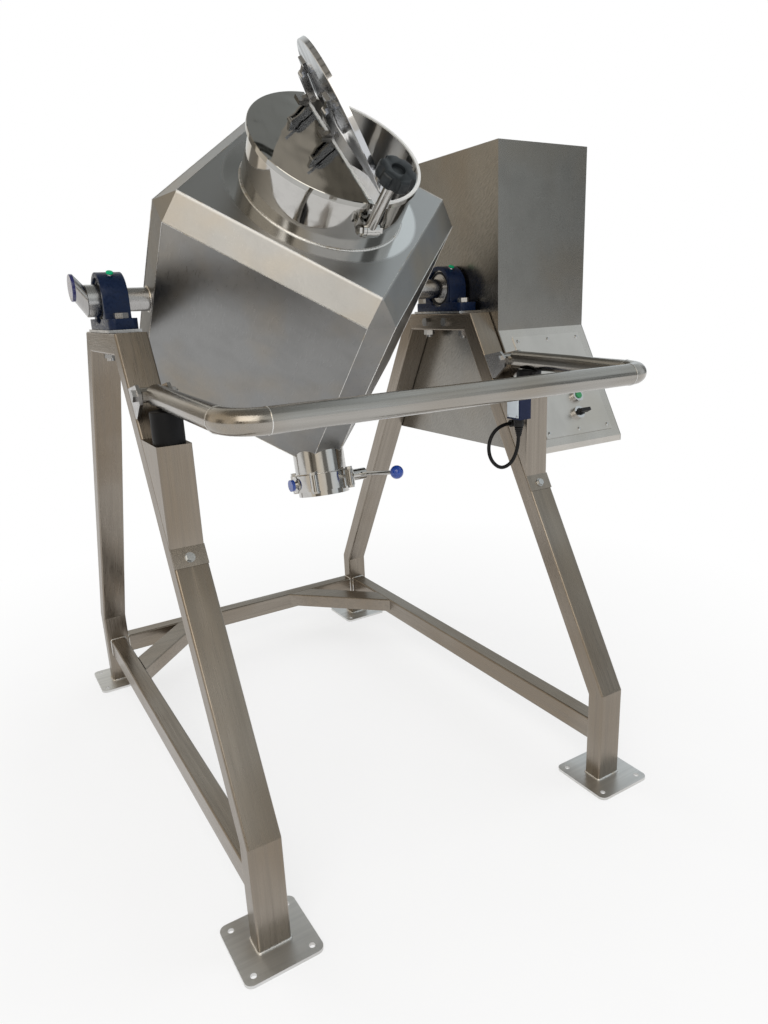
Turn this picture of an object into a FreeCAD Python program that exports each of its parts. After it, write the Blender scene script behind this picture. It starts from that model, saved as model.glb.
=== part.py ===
import FreeCAD, Part
import math
import os

# Cubic powder mixer. Millimetres, +Z up. X runs along the trunnions, from the free bearing at -X
# to the drive housing at +X. The front, with the guard and the control panel, looks along -Y.
# The origin is on the floor, midway between the four feet.

# Frame tube and feet
tube_wide = 60.0
tube_deep = 40.0
tube_wall = 2.0
tube_corner = 4.0
rail_high = 50.0
frame_gauge = 800.0
foot_depth = 1117.2
plate_size = 140.0
plate_thick = 6.0
plate_corner = 14.0
anchor_pitch = 105.0
anchor_hole = 11.0
knee_height = 211.0
beam_top = 1005.0
beam_half = 135.0
rail_top = 134.0
brace_reach = 197.0

# Guard posts
post_front = -335.0
post_top = 827.0
post_sheet = 2.0
flap_length = 32.0
bumper_radius = 27.0
bumper_setback = 30.0
m8_radius = 4.0
m8_head_radius = 7.5
m8_head_height = 5.0

# Trunnion bearings
shaft_radius = 22.5
shim_thick = 5.0
bearing_centre = 54.0
block_length = 190.0
block_width = 54.0
block_foot = 20.0
block_dome = 52.0
block_pitch = 146.0
ring_outer = 42.5
ring_inner = 30.0
inner_ring_short = 19.0
inner_ring_long = 45.0
inner_ring_drive = 25.0
m16_radius = 8.0
m16_hole = 17.0
m16_across = 24.0
m16_head = 10.0
m16_nut = 13.0
m16_stickout = 6.0
fit = 0.05
near = 0.3

# Vessel
cube_half = 245.0
cube_bevel = 43.0
vessel_sheet = 3.0
vessel_shift = -12.0
tilt = 43.4
neck_radius = 160.0
neck_wall = 3.0
neck_rise = 91.0
rim_radius = 165.0
rim_height = 8.0
gasket_inner = 158.5
gasket_outer = 164.0
gasket_thick = 2.5
lid_slack = 0.5
lid_sheet = 3.0
lip_sheet = 2.0
lid_lip = 7.0
lid_gap = 1.5
lid_open = 127.0

# Lid hinges, on the line across the middle of the manway
hinge_places = (24.0, 138.0)
hinge_rise = 9.0
link_radius = 7.0
link_length = 44.0
link_thick = 4.0
hinge_pin_radius = 3.0
hinge_pin_head = 5.0
hinge_lug = 9.0
hinge_gap = 0.4
hinge_base_long = 20.0
hinge_base_wide = 24.0
hinge_base_thick = 4.0

# Swing bolt and its knob
clamp_setout = 18.0
clamp_drop = 32.0
clamp_lean = 8.0
lug_thick = 6.0
lug_radius = 12.0
clamp_pin_radius = 6.0
clamp_eye_radius = 13.0
clamp_rod_radius = 10.0
clamp_rod_end = 124.0
knob_radius = 34.0
knob_bottom = 103.0
knob_height = 30.0
knob_hub_radius = 16.0
knob_hub_height = 6.0
knob_round = 6.0
knob_lobes = 6
knob_lobe_radius = 9.5
knob_lobe_out = 2.0

# Outlet and butterfly valve
spout_length = 22.3
valve_length = 36.0
spigot_length = 12.0
spout_radius = 57.15
spout_wall = 2.0
valve_radius = 65.0
valve_bore = 53.0
seal_cover = 4.0
seal_thick = 12.0
disc_radius = 52.5
disc_thick = 6.0
stem_radius = 8.0
stem_left = -72.0
plug_thick = 7.0
plug_radius = 13.0
boss_radius = 17.0
boss_left = -66.0
boss_right = 72.0
hub_start = 73.0
hub_end = 104.0
hub_radius = 13.0
lever_middle = 96.0
lever_length = 168.0
lever_radius = 4.5
ball_radius = 14.5
valve_bolt_across = 44.0
valve_bolt_out = 52.0
valve_bolt_radius = 4.0
valve_ear_radius = 9.0

# Port on the free shaft end
port_gap = 1.0
port_root_radius = 28.5
port_end_radius = 25.25
port_length = 18.0
port_rise = 24.5
port_cap_thick = 6.0

# Guard
guard_radius = 19.0
guard_wall = 2.0
guard_front = -622.0
guard_elbow = 50.0
guard_pin_y = -242.0
guard_pin_z = 903.0
guard_droop = 1.3
arm_start = -262.0
barrel_radius = 13.0
guard_pin_radius = 6.0
ear_thick = 6.0

# Drive housing
housing_end = 703.0
housing_half_top = 165.0
housing_half_low = 307.0
housing_top = 1372.0
housing_bend = 962.0
housing_slope_end = 700.0
housing_bottom = 686.0
housing_sheet = 2.0
shaft_window = 36.0

# Control panel, measured across the housing and down its sloping front
panel_middle = 572.0
panel_wide = 214.0
panel_from = 20.0
panel_to = 279.0
panel_sheet = 2.0
panel_margin = 12.0
screw_across = 95.0
selector_from_middle = (12.0, 228.0)
button_from_middle = (26.0, 186.0)
window_margin = 25.0
bezel_radius = 15.0
m5_head_radius = 4.6
m5_head_height = 2.6

# Drive
gear_from = 478.0
gear_to = 598.0
gear_half = 92.0
gear_below = 95.0
gear_above = 112.0
sleeve_radius = 32.0
m12_radius = 6.0
mount_y = 40.0
motor_y = 52.0
motor_radius = 72.0
motor_flange = 14.0
motor_height = 118.0
cowl_height = 46.0
cowl_sheet = 2.0
cowl_seat = 10.0
cowl_holes = 6
cowl_hole_ring = 36.0
cowl_hole_radius = 10.0
fan_shaft_radius = 9.0
fan_radius = 62.0
key_width = 14.0
key_height = 9.0
key_length = 80.0

# Safety switch on the right post
switch_deep = 33.0
switch_wide = 42.0
switch_low = 782.0
switch_height = 52.0
switch_front = -347.0
head_size = 26.0
head_height = 22.0
gland_radius = 11.0
gland_length = 17.0
cable_radius = 4.0
grommet_place = (-285.0, 765.0)
switch_arm = 40.0
roller_radius = 8.0

shaft_z = beam_top + shim_thick + bearing_centre
frame_x = frame_gauge / 2
foot_y = foot_depth / 2
leg_outer = foot_y + tube_deep / 2
leg_inner = foot_y - tube_deep / 2
half_wide = tube_wide / 2
half_deep = tube_deep / 2
neck_top = cube_half + neck_rise
clamp_out = neck_radius + clamp_setout
clamp_low = neck_top - clamp_drop
corner_face = (3 * cube_half - 2 * cube_bevel) / math.sqrt(3)
valve_start = corner_face + spout_length
valve_middle = valve_start + valve_length / 2
valve_end = valve_start + valve_length
spigot_end = valve_end + spigot_length
shaft_left = frame_x + inner_ring_long + port_gap
selector_place = (panel_middle + selector_from_middle[0], selector_from_middle[1])
button_place = (panel_middle + button_from_middle[0], button_from_middle[1])
tiny = 1.0


def vec(x, y, z):
    return FreeCAD.Vector(x, y, z)


def box(x0, x1, y0, y1, z0, z1):
    return Part.makeBox(x1 - x0, y1 - y0, z1 - z0, vec(x0, y0, z0))


def rod(start, end, radius):
    run = end - start
    return Part.makeCylinder(radius, run.Length, start, run)


def ring(start, end, outer, inner):
    return rod(start, end, outer).cut(rod(start, end, inner))


def rod_x(x0, x1, y, z, radius):
    return rod(vec(x0, y, z), vec(x1, y, z), radius)


def rod_z(z0, z1, x, y, radius):
    return rod(vec(x, y, z0), vec(x, y, z1), radius)


def closed(points):
    return Part.Face(Part.makePolygon(points + points[:1]))


def prism_yz(outline, x0, x1):
    return closed([vec(x0, y, z) for y, z in outline]).extrude(vec(x1 - x0, 0, 0))


def prism_xy(outline, z0, z1):
    return closed([vec(x, y, z0) for x, y in outline]).extrude(vec(0, 0, z1 - z0))


def revolved(outline):
    # An outline of (radius, height) points turned about the Z axis.
    face = closed([vec(r, 0, z) for r, z in outline])
    return face.revolve(vec(0, 0, 0), vec(0, 0, 1), 360)


def hexagon(across, start, run):
    # A hexagonal prism from start along run.
    radius = across / math.sqrt(3)
    corners = []
    for step in range(6):
        angle = math.radians(60 * step + 30)
        corners.append(vec(radius * math.cos(angle), radius * math.sin(angle), 0))
    prism = closed(corners).extrude(vec(0, 0, run.Length))
    prism.Placement = FreeCAD.Placement(start, FreeCAD.Rotation(vec(0, 0, 1), run))
    return prism


def fused(shapes):
    whole = shapes[0].multiFuse(shapes[1:])
    return whole.removeSplitter()


def group(shapes):
    return Part.makeCompound(shapes)


def turned(shape, place, axis, angle):
    copy = shape.copy()
    copy.rotate(place, axis, angle)
    return copy


def mirrored(shape, normal):
    return shape.mirror(vec(0, 0, 0), normal)


def save(name, shape):
    shape.exportStep("parts/" + name + ".step")


def rounded(shape, run, radius):
    # Rounds the edges of a shape that run along one direction.
    edges = []
    for edge in shape.Edges:
        if abs(abs(edge.tangentAt(edge.FirstParameter).dot(run)) - 1) < 1e-6 and edge.Length > 4 * radius:
            edges.append(edge)
    return shape.makeFillet(radius, edges)


# Frame


def between(a, b, share):
    return (a[0] + (b[0] - a[0]) * share, a[1] + (b[1] - a[1]) * share)


def side_tube(outer_start, outer_end, inner_end, inner_start):
    # A mitred box tube in a side frame, seen along X, about the plane x = 0.
    share = tube_wall / tube_deep
    outline = [outer_start, outer_end, inner_end, inner_start]
    bore = [
        between(outer_start, inner_start, share),
        between(outer_end, inner_end, share),
        between(inner_end, outer_end, share),
        between(inner_start, outer_start, share),
    ]
    run = vec(0, outer_end[0] - outer_start[0], outer_end[1] - outer_start[1]).normalize()
    skin = rounded(prism_yz(outline, -half_wide, half_wide), run, tube_corner)
    return skin.cut(prism_yz(bore, tube_wall - half_wide, half_wide - tube_wall))


def leg_corners():
    # The rear leg's corners as (y, z): the beam's end and the knee, outside and inside.
    top = (beam_half, beam_top)
    knee = (leg_outer, knee_height)
    run = math.hypot(knee[0] - top[0], knee[1] - top[1])
    along = ((knee[0] - top[0]) / run, (knee[1] - top[1]) / run)
    inward = (top[0] + along[1] * tube_deep, top[1] - along[0] * tube_deep)
    to_beam = (beam_top - tube_deep - inward[1]) / along[1]
    top_in = (inward[0] + along[0] * to_beam, beam_top - tube_deep)
    to_knee = (leg_inner - inward[0]) / along[0]
    knee_in = (leg_inner, inward[1] + along[1] * to_knee)
    return top, top_in, knee, knee_in


def leg():
    # The slanted tube and the upright tube under it, for a rear leg about x = 0.
    top, top_in, knee, knee_in = leg_corners()
    slanted = side_tube(top, knee, knee_in, top_in)
    upright = side_tube(knee, (leg_outer, plate_thick), (leg_inner, plate_thick), knee_in)
    return group([slanted, upright])


def leg_face(z):
    # How far the slanted outer face of a leg lies from the middle, at a height.
    top, top_in, knee, knee_in = leg_corners()
    return knee[0] + (top[0] - knee[0]) * (z - knee[1]) / (top[1] - knee[1])


def at_side(shape, side):
    return shape.translated(vec(side * frame_x, 0, 0))


def pair(shape):
    return group([at_side(shape, -1), at_side(shape, 1)])


def front_of(shape):
    return mirrored(shape, vec(0, 1, 0))


def beam():
    top, top_in, knee, knee_in = leg_corners()
    left_top = (-top[0], top[1])
    left_in = (-top_in[0], top_in[1])
    body = side_tube(left_top, top, top_in, left_in)
    for place in bolt_places():
        body = body.cut(rod_z(beam_top - tube_deep - tiny, beam_top + tiny, 0, place, m16_hole / 2))
    return body


def bolt_places():
    return (-block_pitch / 2, block_pitch / 2)


def box_tube_y(x_size, z_size, y0, y1, z_top):
    skin = rounded(box(-x_size / 2, x_size / 2, y0, y1, z_top - z_size, z_top), vec(0, 1, 0), tube_corner)
    hollow = box(
        tube_wall - x_size / 2, x_size / 2 - tube_wall, y0, y1,
        z_top - z_size + tube_wall, z_top - tube_wall,
    )
    return skin.cut(hollow)


def cross_rail():
    reach = frame_x - half_wide
    rail = box_tube_y(tube_deep, rail_high, -reach, reach, rail_top)
    rail = turned(rail, vec(0, 0, 0), vec(0, 0, 1), 90)
    return rail.translated(vec(0, foot_y, 0))


def corner_brace():
    # A flat tube at 45 degrees from the side rail to the rear rail, at the right rear corner.
    inner_x = frame_x - half_deep
    inner_y = foot_y - half_deep
    long = brace_reach * math.sqrt(2) + tube_wide * 2
    tube = box_tube_y(tube_wide, tube_deep, -long / 2, long / 2, rail_top)
    tube = turned(tube, vec(0, 0, 0), vec(0, 0, 1), 45)
    tube = tube.translated(vec(inner_x - brace_reach / 2, inner_y - brace_reach / 2, 0))
    room = box(0, inner_x, 0, inner_y, 0, beam_top)
    return tube.common(room)


def rounded_plate(plate, radius):
    # Rounds the upright edges.
    edges = [e for e in plate.Edges if abs(e.tangentAt(e.FirstParameter).z) > 0.999]
    return plate.makeFillet(radius, edges)


def foot_plate(x, y):
    half = plate_size / 2
    plate = rounded_plate(box(x - half, x + half, y - half, y + half, 0, plate_thick), plate_corner)
    for sx in (-1, 1):
        for sy in (-1, 1):
            hole_x = x + sx * anchor_pitch / 2
            hole_y = y + sy * anchor_pitch / 2
            plate = plate.cut(rod_z(-tiny, plate_thick + tiny, hole_x, hole_y, anchor_hole / 2))
    return plate


def foot_plates():
    return group([foot_plate(x, y) for x in (-frame_x, frame_x) for y in (-foot_y, foot_y)])


def build_frame():
    for side, word in ((-1, "left"), (1, "right")):
        save(word + "_rear_leg", at_side(leg(), side))
        save(word + "_front_leg", at_side(front_of(leg()), side))
    save("left_top_beam", at_side(beam(), -1))
    save("right_top_beam", at_side(beam(), 1).cut(gear_bolt_holes(frame_x - tube_wide, frame_x + tube_wide)))
    rail = box_tube_y(tube_deep, rail_high, -leg_inner, leg_inner, rail_top)
    save("side_rails", pair(rail))
    save("rear_cross_rail", cross_rail())
    brace = corner_brace()
    save("corner_braces", group([brace, mirrored(brace, vec(1, 0, 0))]))
    save("foot_plates", foot_plates())


# Guard posts


def leg_lean():
    # The slant of the front leg's face, as a unit vector that points down and forward.
    top, top_in, knee, knee_in = leg_corners()
    run = math.hypot(knee[0] - top[0], knee[1] - top[1])
    return (-(knee[0] - top[0]) / run, (knee[1] - top[1]) / run)


def post():
    # A folded cover: top, front and two sides, with a flap down the leg, about x = 0.
    top_back = -leg_face(post_top)
    down = leg_lean()
    rise = (knee_height - beam_top) / (leg_outer - beam_half)
    toe_z = beam_top + (-post_front - beam_half) * rise
    toe = (post_front, toe_z)
    outer = [(top_back, post_top), (post_front, post_top), toe]
    body = prism_yz(outer, -half_wide, half_wide)
    body = rounded(body, vec(0, 0, 1), tube_corner)
    room = [
        (top_back + tube_deep, post_top - post_sheet),
        (post_front + post_sheet, post_top - post_sheet),
        (post_front + post_sheet, toe_z - tube_deep),
    ]
    hollow = prism_yz(room, post_sheet - half_wide, half_wide - post_sheet)
    body = body.cut(hollow)
    out = (down[1], -down[0])
    flap = [
        toe,
        (toe[0] + down[0] * flap_length, toe[1] + down[1] * flap_length),
        (toe[0] + down[0] * flap_length + out[0] * post_sheet, toe[1] + down[1] * flap_length + out[1] * post_sheet),
        (toe[0], toe[1] - post_sheet / down[0]),
    ]
    body = body.fuse(prism_yz(flap, -half_wide, half_wide))
    middle = flap_length / 2
    screw_y = toe[0] + down[0] * middle
    screw_z = toe[1] + down[1] * middle
    axis = vec(0, out[0], out[1])
    start = vec(0, screw_y, screw_z)
    hole = rod(start - axis * tube_deep, start + axis * tube_deep, m8_radius + fit)
    return body.cut(hole), start, axis


def post_screw(start, axis):
    # A flanged screw head on the flap, with its shank through the flap and the leg's wall.
    seat = start + axis * post_sheet
    shank = rod(start, seat, m8_radius)
    flange = rod(seat, seat + axis * 1.5, m8_head_radius + 1.5)
    head = hexagon(m8_head_radius * 1.73, seat + axis * 1.5, axis * m8_head_height)
    return fused([shank, flange, head])


def bumper_top():
    return guard_underside(bumper_y() - bumper_radius) - near


def bumper_y():
    return post_front + bumper_setback


def guard_underside(y):
    drop = math.tan(math.radians(guard_droop)) * (guard_pin_y - y)
    return guard_pin_z - drop - guard_radius / math.cos(math.radians(guard_droop))


def bumper():
    # A rubber buffer with a rounded top edge, just under the guard's arm.
    top = bumper_top()
    body = rod_z(post_top, top, 0, bumper_y(), bumper_radius)
    rim = [e for e in body.Edges if abs(e.BoundBox.ZMin - top) < 0.01 and abs(e.BoundBox.ZMax - top) < 0.01]
    return body.makeFillet(2.5, rim)


def build_posts():
    body, start, axis = post()
    save("left_post", at_side(body, -1))
    save("right_post", at_side(body, 1))
    save("guard_bumpers", pair(bumper()))
    screw = post_screw(start, axis)
    screws = [at_side(screw, -1), at_side(screw, 1)]
    save("cover_screws", group(screws + [panel_screw(place) for place in screw_places()]))


# Trunnion bearings


def bearing_block():
    low = beam_top + shim_thick
    half = block_length / 2
    foot = rounded_plate(box(-block_width / 2, block_width / 2, -half, half, low, low + block_foot), 14.0)
    dome_half = block_width / 2 - 3
    dome = rod_x(-dome_half, dome_half, 0, shaft_z, block_dome)
    waist = box(-dome_half, dome_half, -block_dome, block_dome, low, shaft_z)
    body = fused([foot, dome, waist])
    body = body.cut(rod_x(-block_width, block_width, 0, shaft_z, ring_outer))
    for place in bolt_places():
        body = body.cut(rod_z(low - tiny, low + block_foot + tiny, 0, place, m16_hole / 2))
    return body


def bearing_shim():
    half = block_length / 2
    low = beam_top
    shim = box(-half_wide, half_wide, -half, half, low, low + shim_thick)
    for place in bolt_places():
        shim = shim.cut(rod_z(low - tiny, low + shim_thick + tiny, 0, place, m16_hole / 2))
    return shim


def outer_ring():
    half = inner_ring_short - 1
    return ring(vec(-half, 0, shaft_z), vec(half, 0, shaft_z), ring_outer, ring_inner + fit)


def block_bolt(place):
    low = beam_top - tube_deep
    seat = beam_top + shim_thick + block_foot
    shank = rod_z(low - m16_nut - m16_stickout, seat, 0, place, m16_radius)
    head = hexagon(m16_across, vec(0, place, seat), vec(0, 0, m16_head))
    return fused([shank, head])


def block_nut(place):
    low = beam_top - tube_deep
    nut = hexagon(m16_across, vec(0, place, low), vec(0, 0, -m16_nut))
    return nut.cut(rod_z(low - m16_nut - tiny, low + tiny, 0, place, m16_radius + fit))


def build_bearings():
    save("bearing_blocks", pair(bearing_block()))
    save("bearing_shims", pair(bearing_shim()))
    save("bearing_outer_rings", pair(outer_ring()))
    bolts = [pair(block_bolt(place)) for place in bolt_places()]
    nuts = [pair(block_nut(place)) for place in bolt_places()]
    save("bearing_bolts", group(bolts + nuts))
    inner = []
    for side, long in ((-1, inner_ring_long), (1, inner_ring_drive)):
        outside = side * (frame_x + long)
        inside = side * (frame_x - inner_ring_short)
        inner.append(ring(vec(inside, 0, shaft_z), vec(outside, 0, shaft_z), ring_inner, shaft_radius + fit))
    save("bearing_inner_rings", group(inner))


# Vessel. It is drawn upright about its own middle: X along the trunnions, Z along the manway.


def tilted(shape):
    placed = turned(shape, vec(0, 0, 0), vec(1, 0, 0), tilt)
    return placed.translated(vec(vessel_shift, 0, shaft_z))


def bevelled_cube(half, bevel):
    # A cube with flat bevels along its edges and a small triangle at each corner.
    flat = half - bevel
    faces = []
    for axis in range(3):
        for end in (-1, 1):
            corners = []
            for a, b in ((-1, -1), (1, -1), (1, 1), (-1, 1)):
                place = [0, 0, 0]
                place[axis] = end * half
                place[(axis + 1) % 3] = a * flat
                place[(axis + 2) % 3] = b * flat
                corners.append(vec(*place))
            faces.append(closed(corners))
        for a in (-1, 1):
            for b in (-1, 1):
                corners = []
                for length, first in ((-1, True), (1, True), (1, False), (-1, False)):
                    place = [0, 0, 0]
                    place[axis] = length * flat
                    place[(axis + 1) % 3] = a * (half if first else flat)
                    place[(axis + 2) % 3] = b * (flat if first else half)
                    corners.append(vec(*place))
                faces.append(closed(corners))
    for a in (-1, 1):
        for b in (-1, 1):
            for c in (-1, 1):
                corners = [
                    vec(a * half, b * flat, c * flat),
                    vec(a * flat, b * half, c * flat),
                    vec(a * flat, b * flat, c * half),
                ]
                faces.append(closed(corners))
    solid = Part.makeSolid(Part.makeShell(faces))
    if solid.Volume < 0:
        solid.reverse()
    return turned(solid, vec(0, 0, 0), vec(0, 0, 1), -45)


def outlet_axis():
    # The cube's body diagonal that points down and to the front.
    return vec(0, -math.sqrt(2), -1).normalize()


def along_outlet(distance):
    return outlet_axis() * distance


def vessel_outside():
    return bevelled_cube(cube_half, cube_bevel)


def vessel_inside():
    slack = vessel_sheet * (2 - math.sqrt(2))
    return bevelled_cube(cube_half - vessel_sheet, cube_bevel - slack)


def vessel_shell():
    shell = vessel_outside().cut(vessel_inside())
    shell = shell.cut(rod_z(0, cube_half + tiny, 0, 0, neck_radius))
    return shell.cut(rod(vec(0, 0, 0), along_outlet(valve_start), spout_radius))


def trunnion_reach():
    return (2 * cube_half - cube_bevel) / math.sqrt(2)


def left_trunnion():
    seat = vessel_shift - trunnion_reach()
    return rod_x(-shaft_left, seat, 0, shaft_z, shaft_radius)


def right_trunnion():
    seat = vessel_shift + trunnion_reach()
    end = gear_to + 6
    shaft = rod_x(seat, end, 0, shaft_z, shaft_radius)
    return shaft.cut(drive_key_shape(fit))


def drive_key_shape(slack):
    middle = (gear_from + gear_to) / 2
    low = shaft_z + shaft_radius - key_height / 2
    return box(
        middle - key_length / 2 - slack, middle + key_length / 2 + slack,
        -key_width / 2 - slack, key_width / 2 + slack,
        low - slack, low + key_height + slack,
    )


def shaft_end_port():
    # An oblique neck welded to the free shaft end, which rises off the shaft's line to its cap.
    across = vec(-1, 0, 0)
    root = Part.makeCircle(port_root_radius, vec(-shaft_left, 0, shaft_z), across)
    mouth = Part.makeCircle(port_end_radius, vec(-shaft_left - port_length, 0, shaft_z + port_rise), across)
    return Part.makeLoft([Part.Wire(root), Part.Wire(mouth)], True)


def port_cap():
    start = -shaft_left - port_length
    cap = rod_x(start - port_cap_thick, start, 0, shaft_z + port_rise, port_end_radius)
    rim = [e for e in cap.Edges if e.Closed and e.CenterOfMass.x < start - port_cap_thick / 2]
    return cap.makeFillet(port_cap_thick / 4, rim)


def manway_neck():
    inner = neck_radius - neck_wall
    outline = [
        (inner, cube_half - vessel_sheet),
        (neck_radius, cube_half - vessel_sheet),
        (neck_radius, neck_top),
        (rim_radius, neck_top),
        (rim_radius, neck_top + rim_height),
        (inner, neck_top + rim_height),
    ]
    return revolved(outline)


def rim_face():
    return neck_top + rim_height


def lid_under():
    return rim_face() + gasket_thick


def lid_edge():
    return rim_radius + lid_slack + lip_sheet


def lid_gasket():
    return ring(vec(0, 0, rim_face()), vec(0, 0, lid_under()), gasket_outer, gasket_inner)


def lid_half():
    # The half of the lid on the +X side: a plate with a turned-down lip around its arc.
    under = lid_under()
    top = under + lid_sheet
    outline = [
        (0, under),
        (rim_radius + lid_slack, under),
        (rim_radius + lid_slack, under - lid_lip),
        (lid_edge(), under - lid_lip),
        (lid_edge(), top - 1),
        (lid_edge() - 1, top),
        (0, top),
    ]
    whole = revolved(outline)
    reach = lid_edge() + tiny
    return whole.common(box(lid_gap, reach, -reach, reach, under - lid_lip - tiny, top + tiny))


def lid_top():
    return lid_under() + lid_sheet


def hinge_height():
    return lid_top() + hinge_rise


def link_bar(x0, x1, y0, y1):
    # A flat bar on edge with round ends, at the height of the hinge pins.
    z = hinge_height()
    ends = [rod(vec(x, y0, z), vec(x, y1, z), link_radius) for x in (x0, x1)]
    return fused(ends + [box(x0, x1, y0, y1, z - link_radius, z + link_radius)])


def pin_at(x, place, radius, reach):
    z = hinge_height()
    return rod(vec(x, place - reach, z), vec(x, place + reach, z), radius)


def hinge_foot(place, x, side):
    # A base on the lid with a lug that stands up to a pin at x. The base lies on one side of the pin.
    low = lid_top()
    z = hinge_height()
    half = hinge_lug / 2
    near_x = x + side * (link_radius + tiny)
    far_x = near_x + side * hinge_base_long
    x0 = min(near_x, far_x)
    x1 = max(near_x, far_x)
    base = box(x0, x1, place - hinge_base_wide / 2, place + hinge_base_wide / 2, low, low + hinge_base_thick)
    web_outline = [(far_x - side * 4, low), (near_x, low), (x, z - link_radius), (x, z + link_radius)]
    web = closed([vec(a, place - half, b) for a, b in web_outline]).extrude(vec(0, hinge_lug, 0))
    knuckle = rod(vec(x, place - half, z), vec(x, place + half, z), link_radius)
    foot = fused([base, web, knuckle])
    return foot.cut(pin_at(x, place, hinge_pin_radius + fit, hinge_base_wide))


def hinge_links(place):
    # Two link plates beside the lugs, from the pivot on the fixed half to the hinged half's lug.
    inner = hinge_lug / 2 + hinge_gap
    outer = inner + link_thick
    plates = []
    for y0, y1 in ((place - outer, place - inner), (place + inner, place + outer)):
        plate = link_bar(0, link_length, y0, y1)
        for x in (0, link_length):
            plate = plate.cut(pin_at(x, place, hinge_pin_radius + fit, hinge_base_wide))
        plates.append(plate)
    return plates


def hinge_pin(place, x):
    z = hinge_height()
    reach = hinge_lug / 2 + hinge_gap + link_thick
    pin = pin_at(x, place, hinge_pin_radius, reach)
    heads = []
    for side in (-1, 1):
        start = vec(x, place + side * reach, z)
        heads.append(rod(start, start + vec(0, side * 2, 0), hinge_pin_head))
    return fused([pin] + heads)


def moving_hinge(place):
    return hinge_links(place) + [hinge_foot(place, link_length, 1), hinge_pin(place, link_length)]


def opened(shape):
    # The hinged half as it stands open, turned about the hinge pins.
    return turned(shape, vec(0, 0, hinge_height()), vec(0, -1, 0), lid_open)


def other_half(shape):
    return mirrored(shape, vec(1, 0, 0))


def clamp_lugs():
    # Two ears on the neck that hold the swing bolt's pin, on the hinge line at the front.
    lugs = []
    gap = clamp_rod_radius + near
    for x0, x1 in ((-gap - lug_thick, -gap), (gap, gap + lug_thick)):
        tip = rod_x(x0, x1, -clamp_out, clamp_low, lug_radius)
        web = box(x0, x1, -clamp_out, 0, clamp_low - lug_radius, clamp_low + lug_radius)
        lug = fused([tip, web]).cut(rod_z(0, rim_face(), 0, 0, neck_radius))
        lugs.append(lug.cut(rod_x(-50, 50, -clamp_out, clamp_low, clamp_pin_radius + fit)))
    return group(lugs)


def clamp_pin():
    half = clamp_rod_radius + near + lug_thick + 1
    pin = rod_x(-half, half, -clamp_out, clamp_low, clamp_pin_radius)
    head = hexagon(16.0, vec(half, -clamp_out, clamp_low), vec(6, 0, 0))
    nut = hexagon(16.0, vec(-half, -clamp_out, clamp_low), vec(-6, 0, 0))
    return fused([pin, head, nut])


def leaned(shape):
    # The swing bolt's parts, drawn upright, as they lean outwards about the pin.
    return turned(shape, vec(0, -clamp_out, clamp_low), vec(1, 0, 0), clamp_lean)


def swing_bolt():
    eye = rod_x(-clamp_rod_radius, clamp_rod_radius, -clamp_out, clamp_low, clamp_eye_radius)
    shank = rod_z(clamp_low, clamp_low + clamp_rod_end, 0, -clamp_out, clamp_rod_radius)
    body = fused([eye, shank])
    return body.cut(rod_x(-50, 50, -clamp_out, clamp_low, clamp_pin_radius + fit))


def star_knob():
    low = clamp_low + knob_bottom
    body = rod_z(low + knob_hub_height, low + knob_height, 0, -clamp_out, knob_radius)
    edges = [e for e in body.Edges if e.Closed and abs(e.Length - 2 * math.pi * knob_radius) < tiny]
    body = body.makeFillet(knob_round, edges)
    hub = rod_z(low, low + knob_hub_height + tiny, 0, -clamp_out, knob_hub_radius)
    body = fused([body, hub])
    ring_at = knob_radius + knob_lobe_out
    for step in range(knob_lobes):
        angle = math.radians(360.0 / knob_lobes * step)
        x = ring_at * math.cos(angle)
        y = -clamp_out + ring_at * math.sin(angle)
        body = body.cut(rod_z(low - tiny, low + knob_height + tiny, x, y, knob_lobe_radius))
    return body.cut(rod_z(low - tiny, clamp_low + clamp_rod_end + 1, 0, -clamp_out, clamp_rod_radius + fit))


def build_vessel():
    save("vessel_shell", tilted(vessel_shell()))
    save("left_trunnion", left_trunnion())
    save("right_trunnion", right_trunnion())
    save("shaft_end_cap", shaft_end_port())
    save("port_cap", port_cap())
    save("manway_neck", tilted(manway_neck()))
    save("lid_gasket", tilted(lid_gasket()))
    lid = lid_half()
    save("fixed_lid_half", tilted(other_half(lid)))
    moving = [lid]
    fixed = []
    for place in hinge_places:
        moving += moving_hinge(place)
        fixed += [hinge_foot(place, 0, -1), hinge_pin(place, 0)]
    save("hinged_lid_half", tilted(opened(group(moving))))
    save("fixed_hinge_straps", tilted(group(fixed)))
    save("clamp_bracket", tilted(group([clamp_lugs(), clamp_pin()])))
    save("swing_bolt", tilted(leaned(swing_bolt())))
    save("star_knob", tilted(leaned(star_knob())))


# Outlet valve, drawn along the Z axis with the vessel at z = 0, then laid along the outlet


def on_outlet(shape):
    # The lever's side, +Y here, comes to the front of the machine.
    axis = outlet_axis()
    across = vec(1, 0, 0)
    front = axis.cross(across)
    matrix = FreeCAD.Matrix(
        across.x, front.x, axis.x, 0,
        across.y, front.y, axis.y, 0,
        across.z, front.z, axis.z, 0,
        0, 0, 0, 1,
    )
    return tilted(shape.transformed(matrix, True))


def outlet_spout():
    pipe = ring(vec(0, 0, 0), along_outlet(valve_start), spout_radius - fit, spout_radius - spout_wall)
    pipe = pipe.cut(vessel_inside())
    start = rod(vec(0, 0, 0), along_outlet(cube_half), spout_radius + tiny)
    return tilted(pipe.cut(start))


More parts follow.
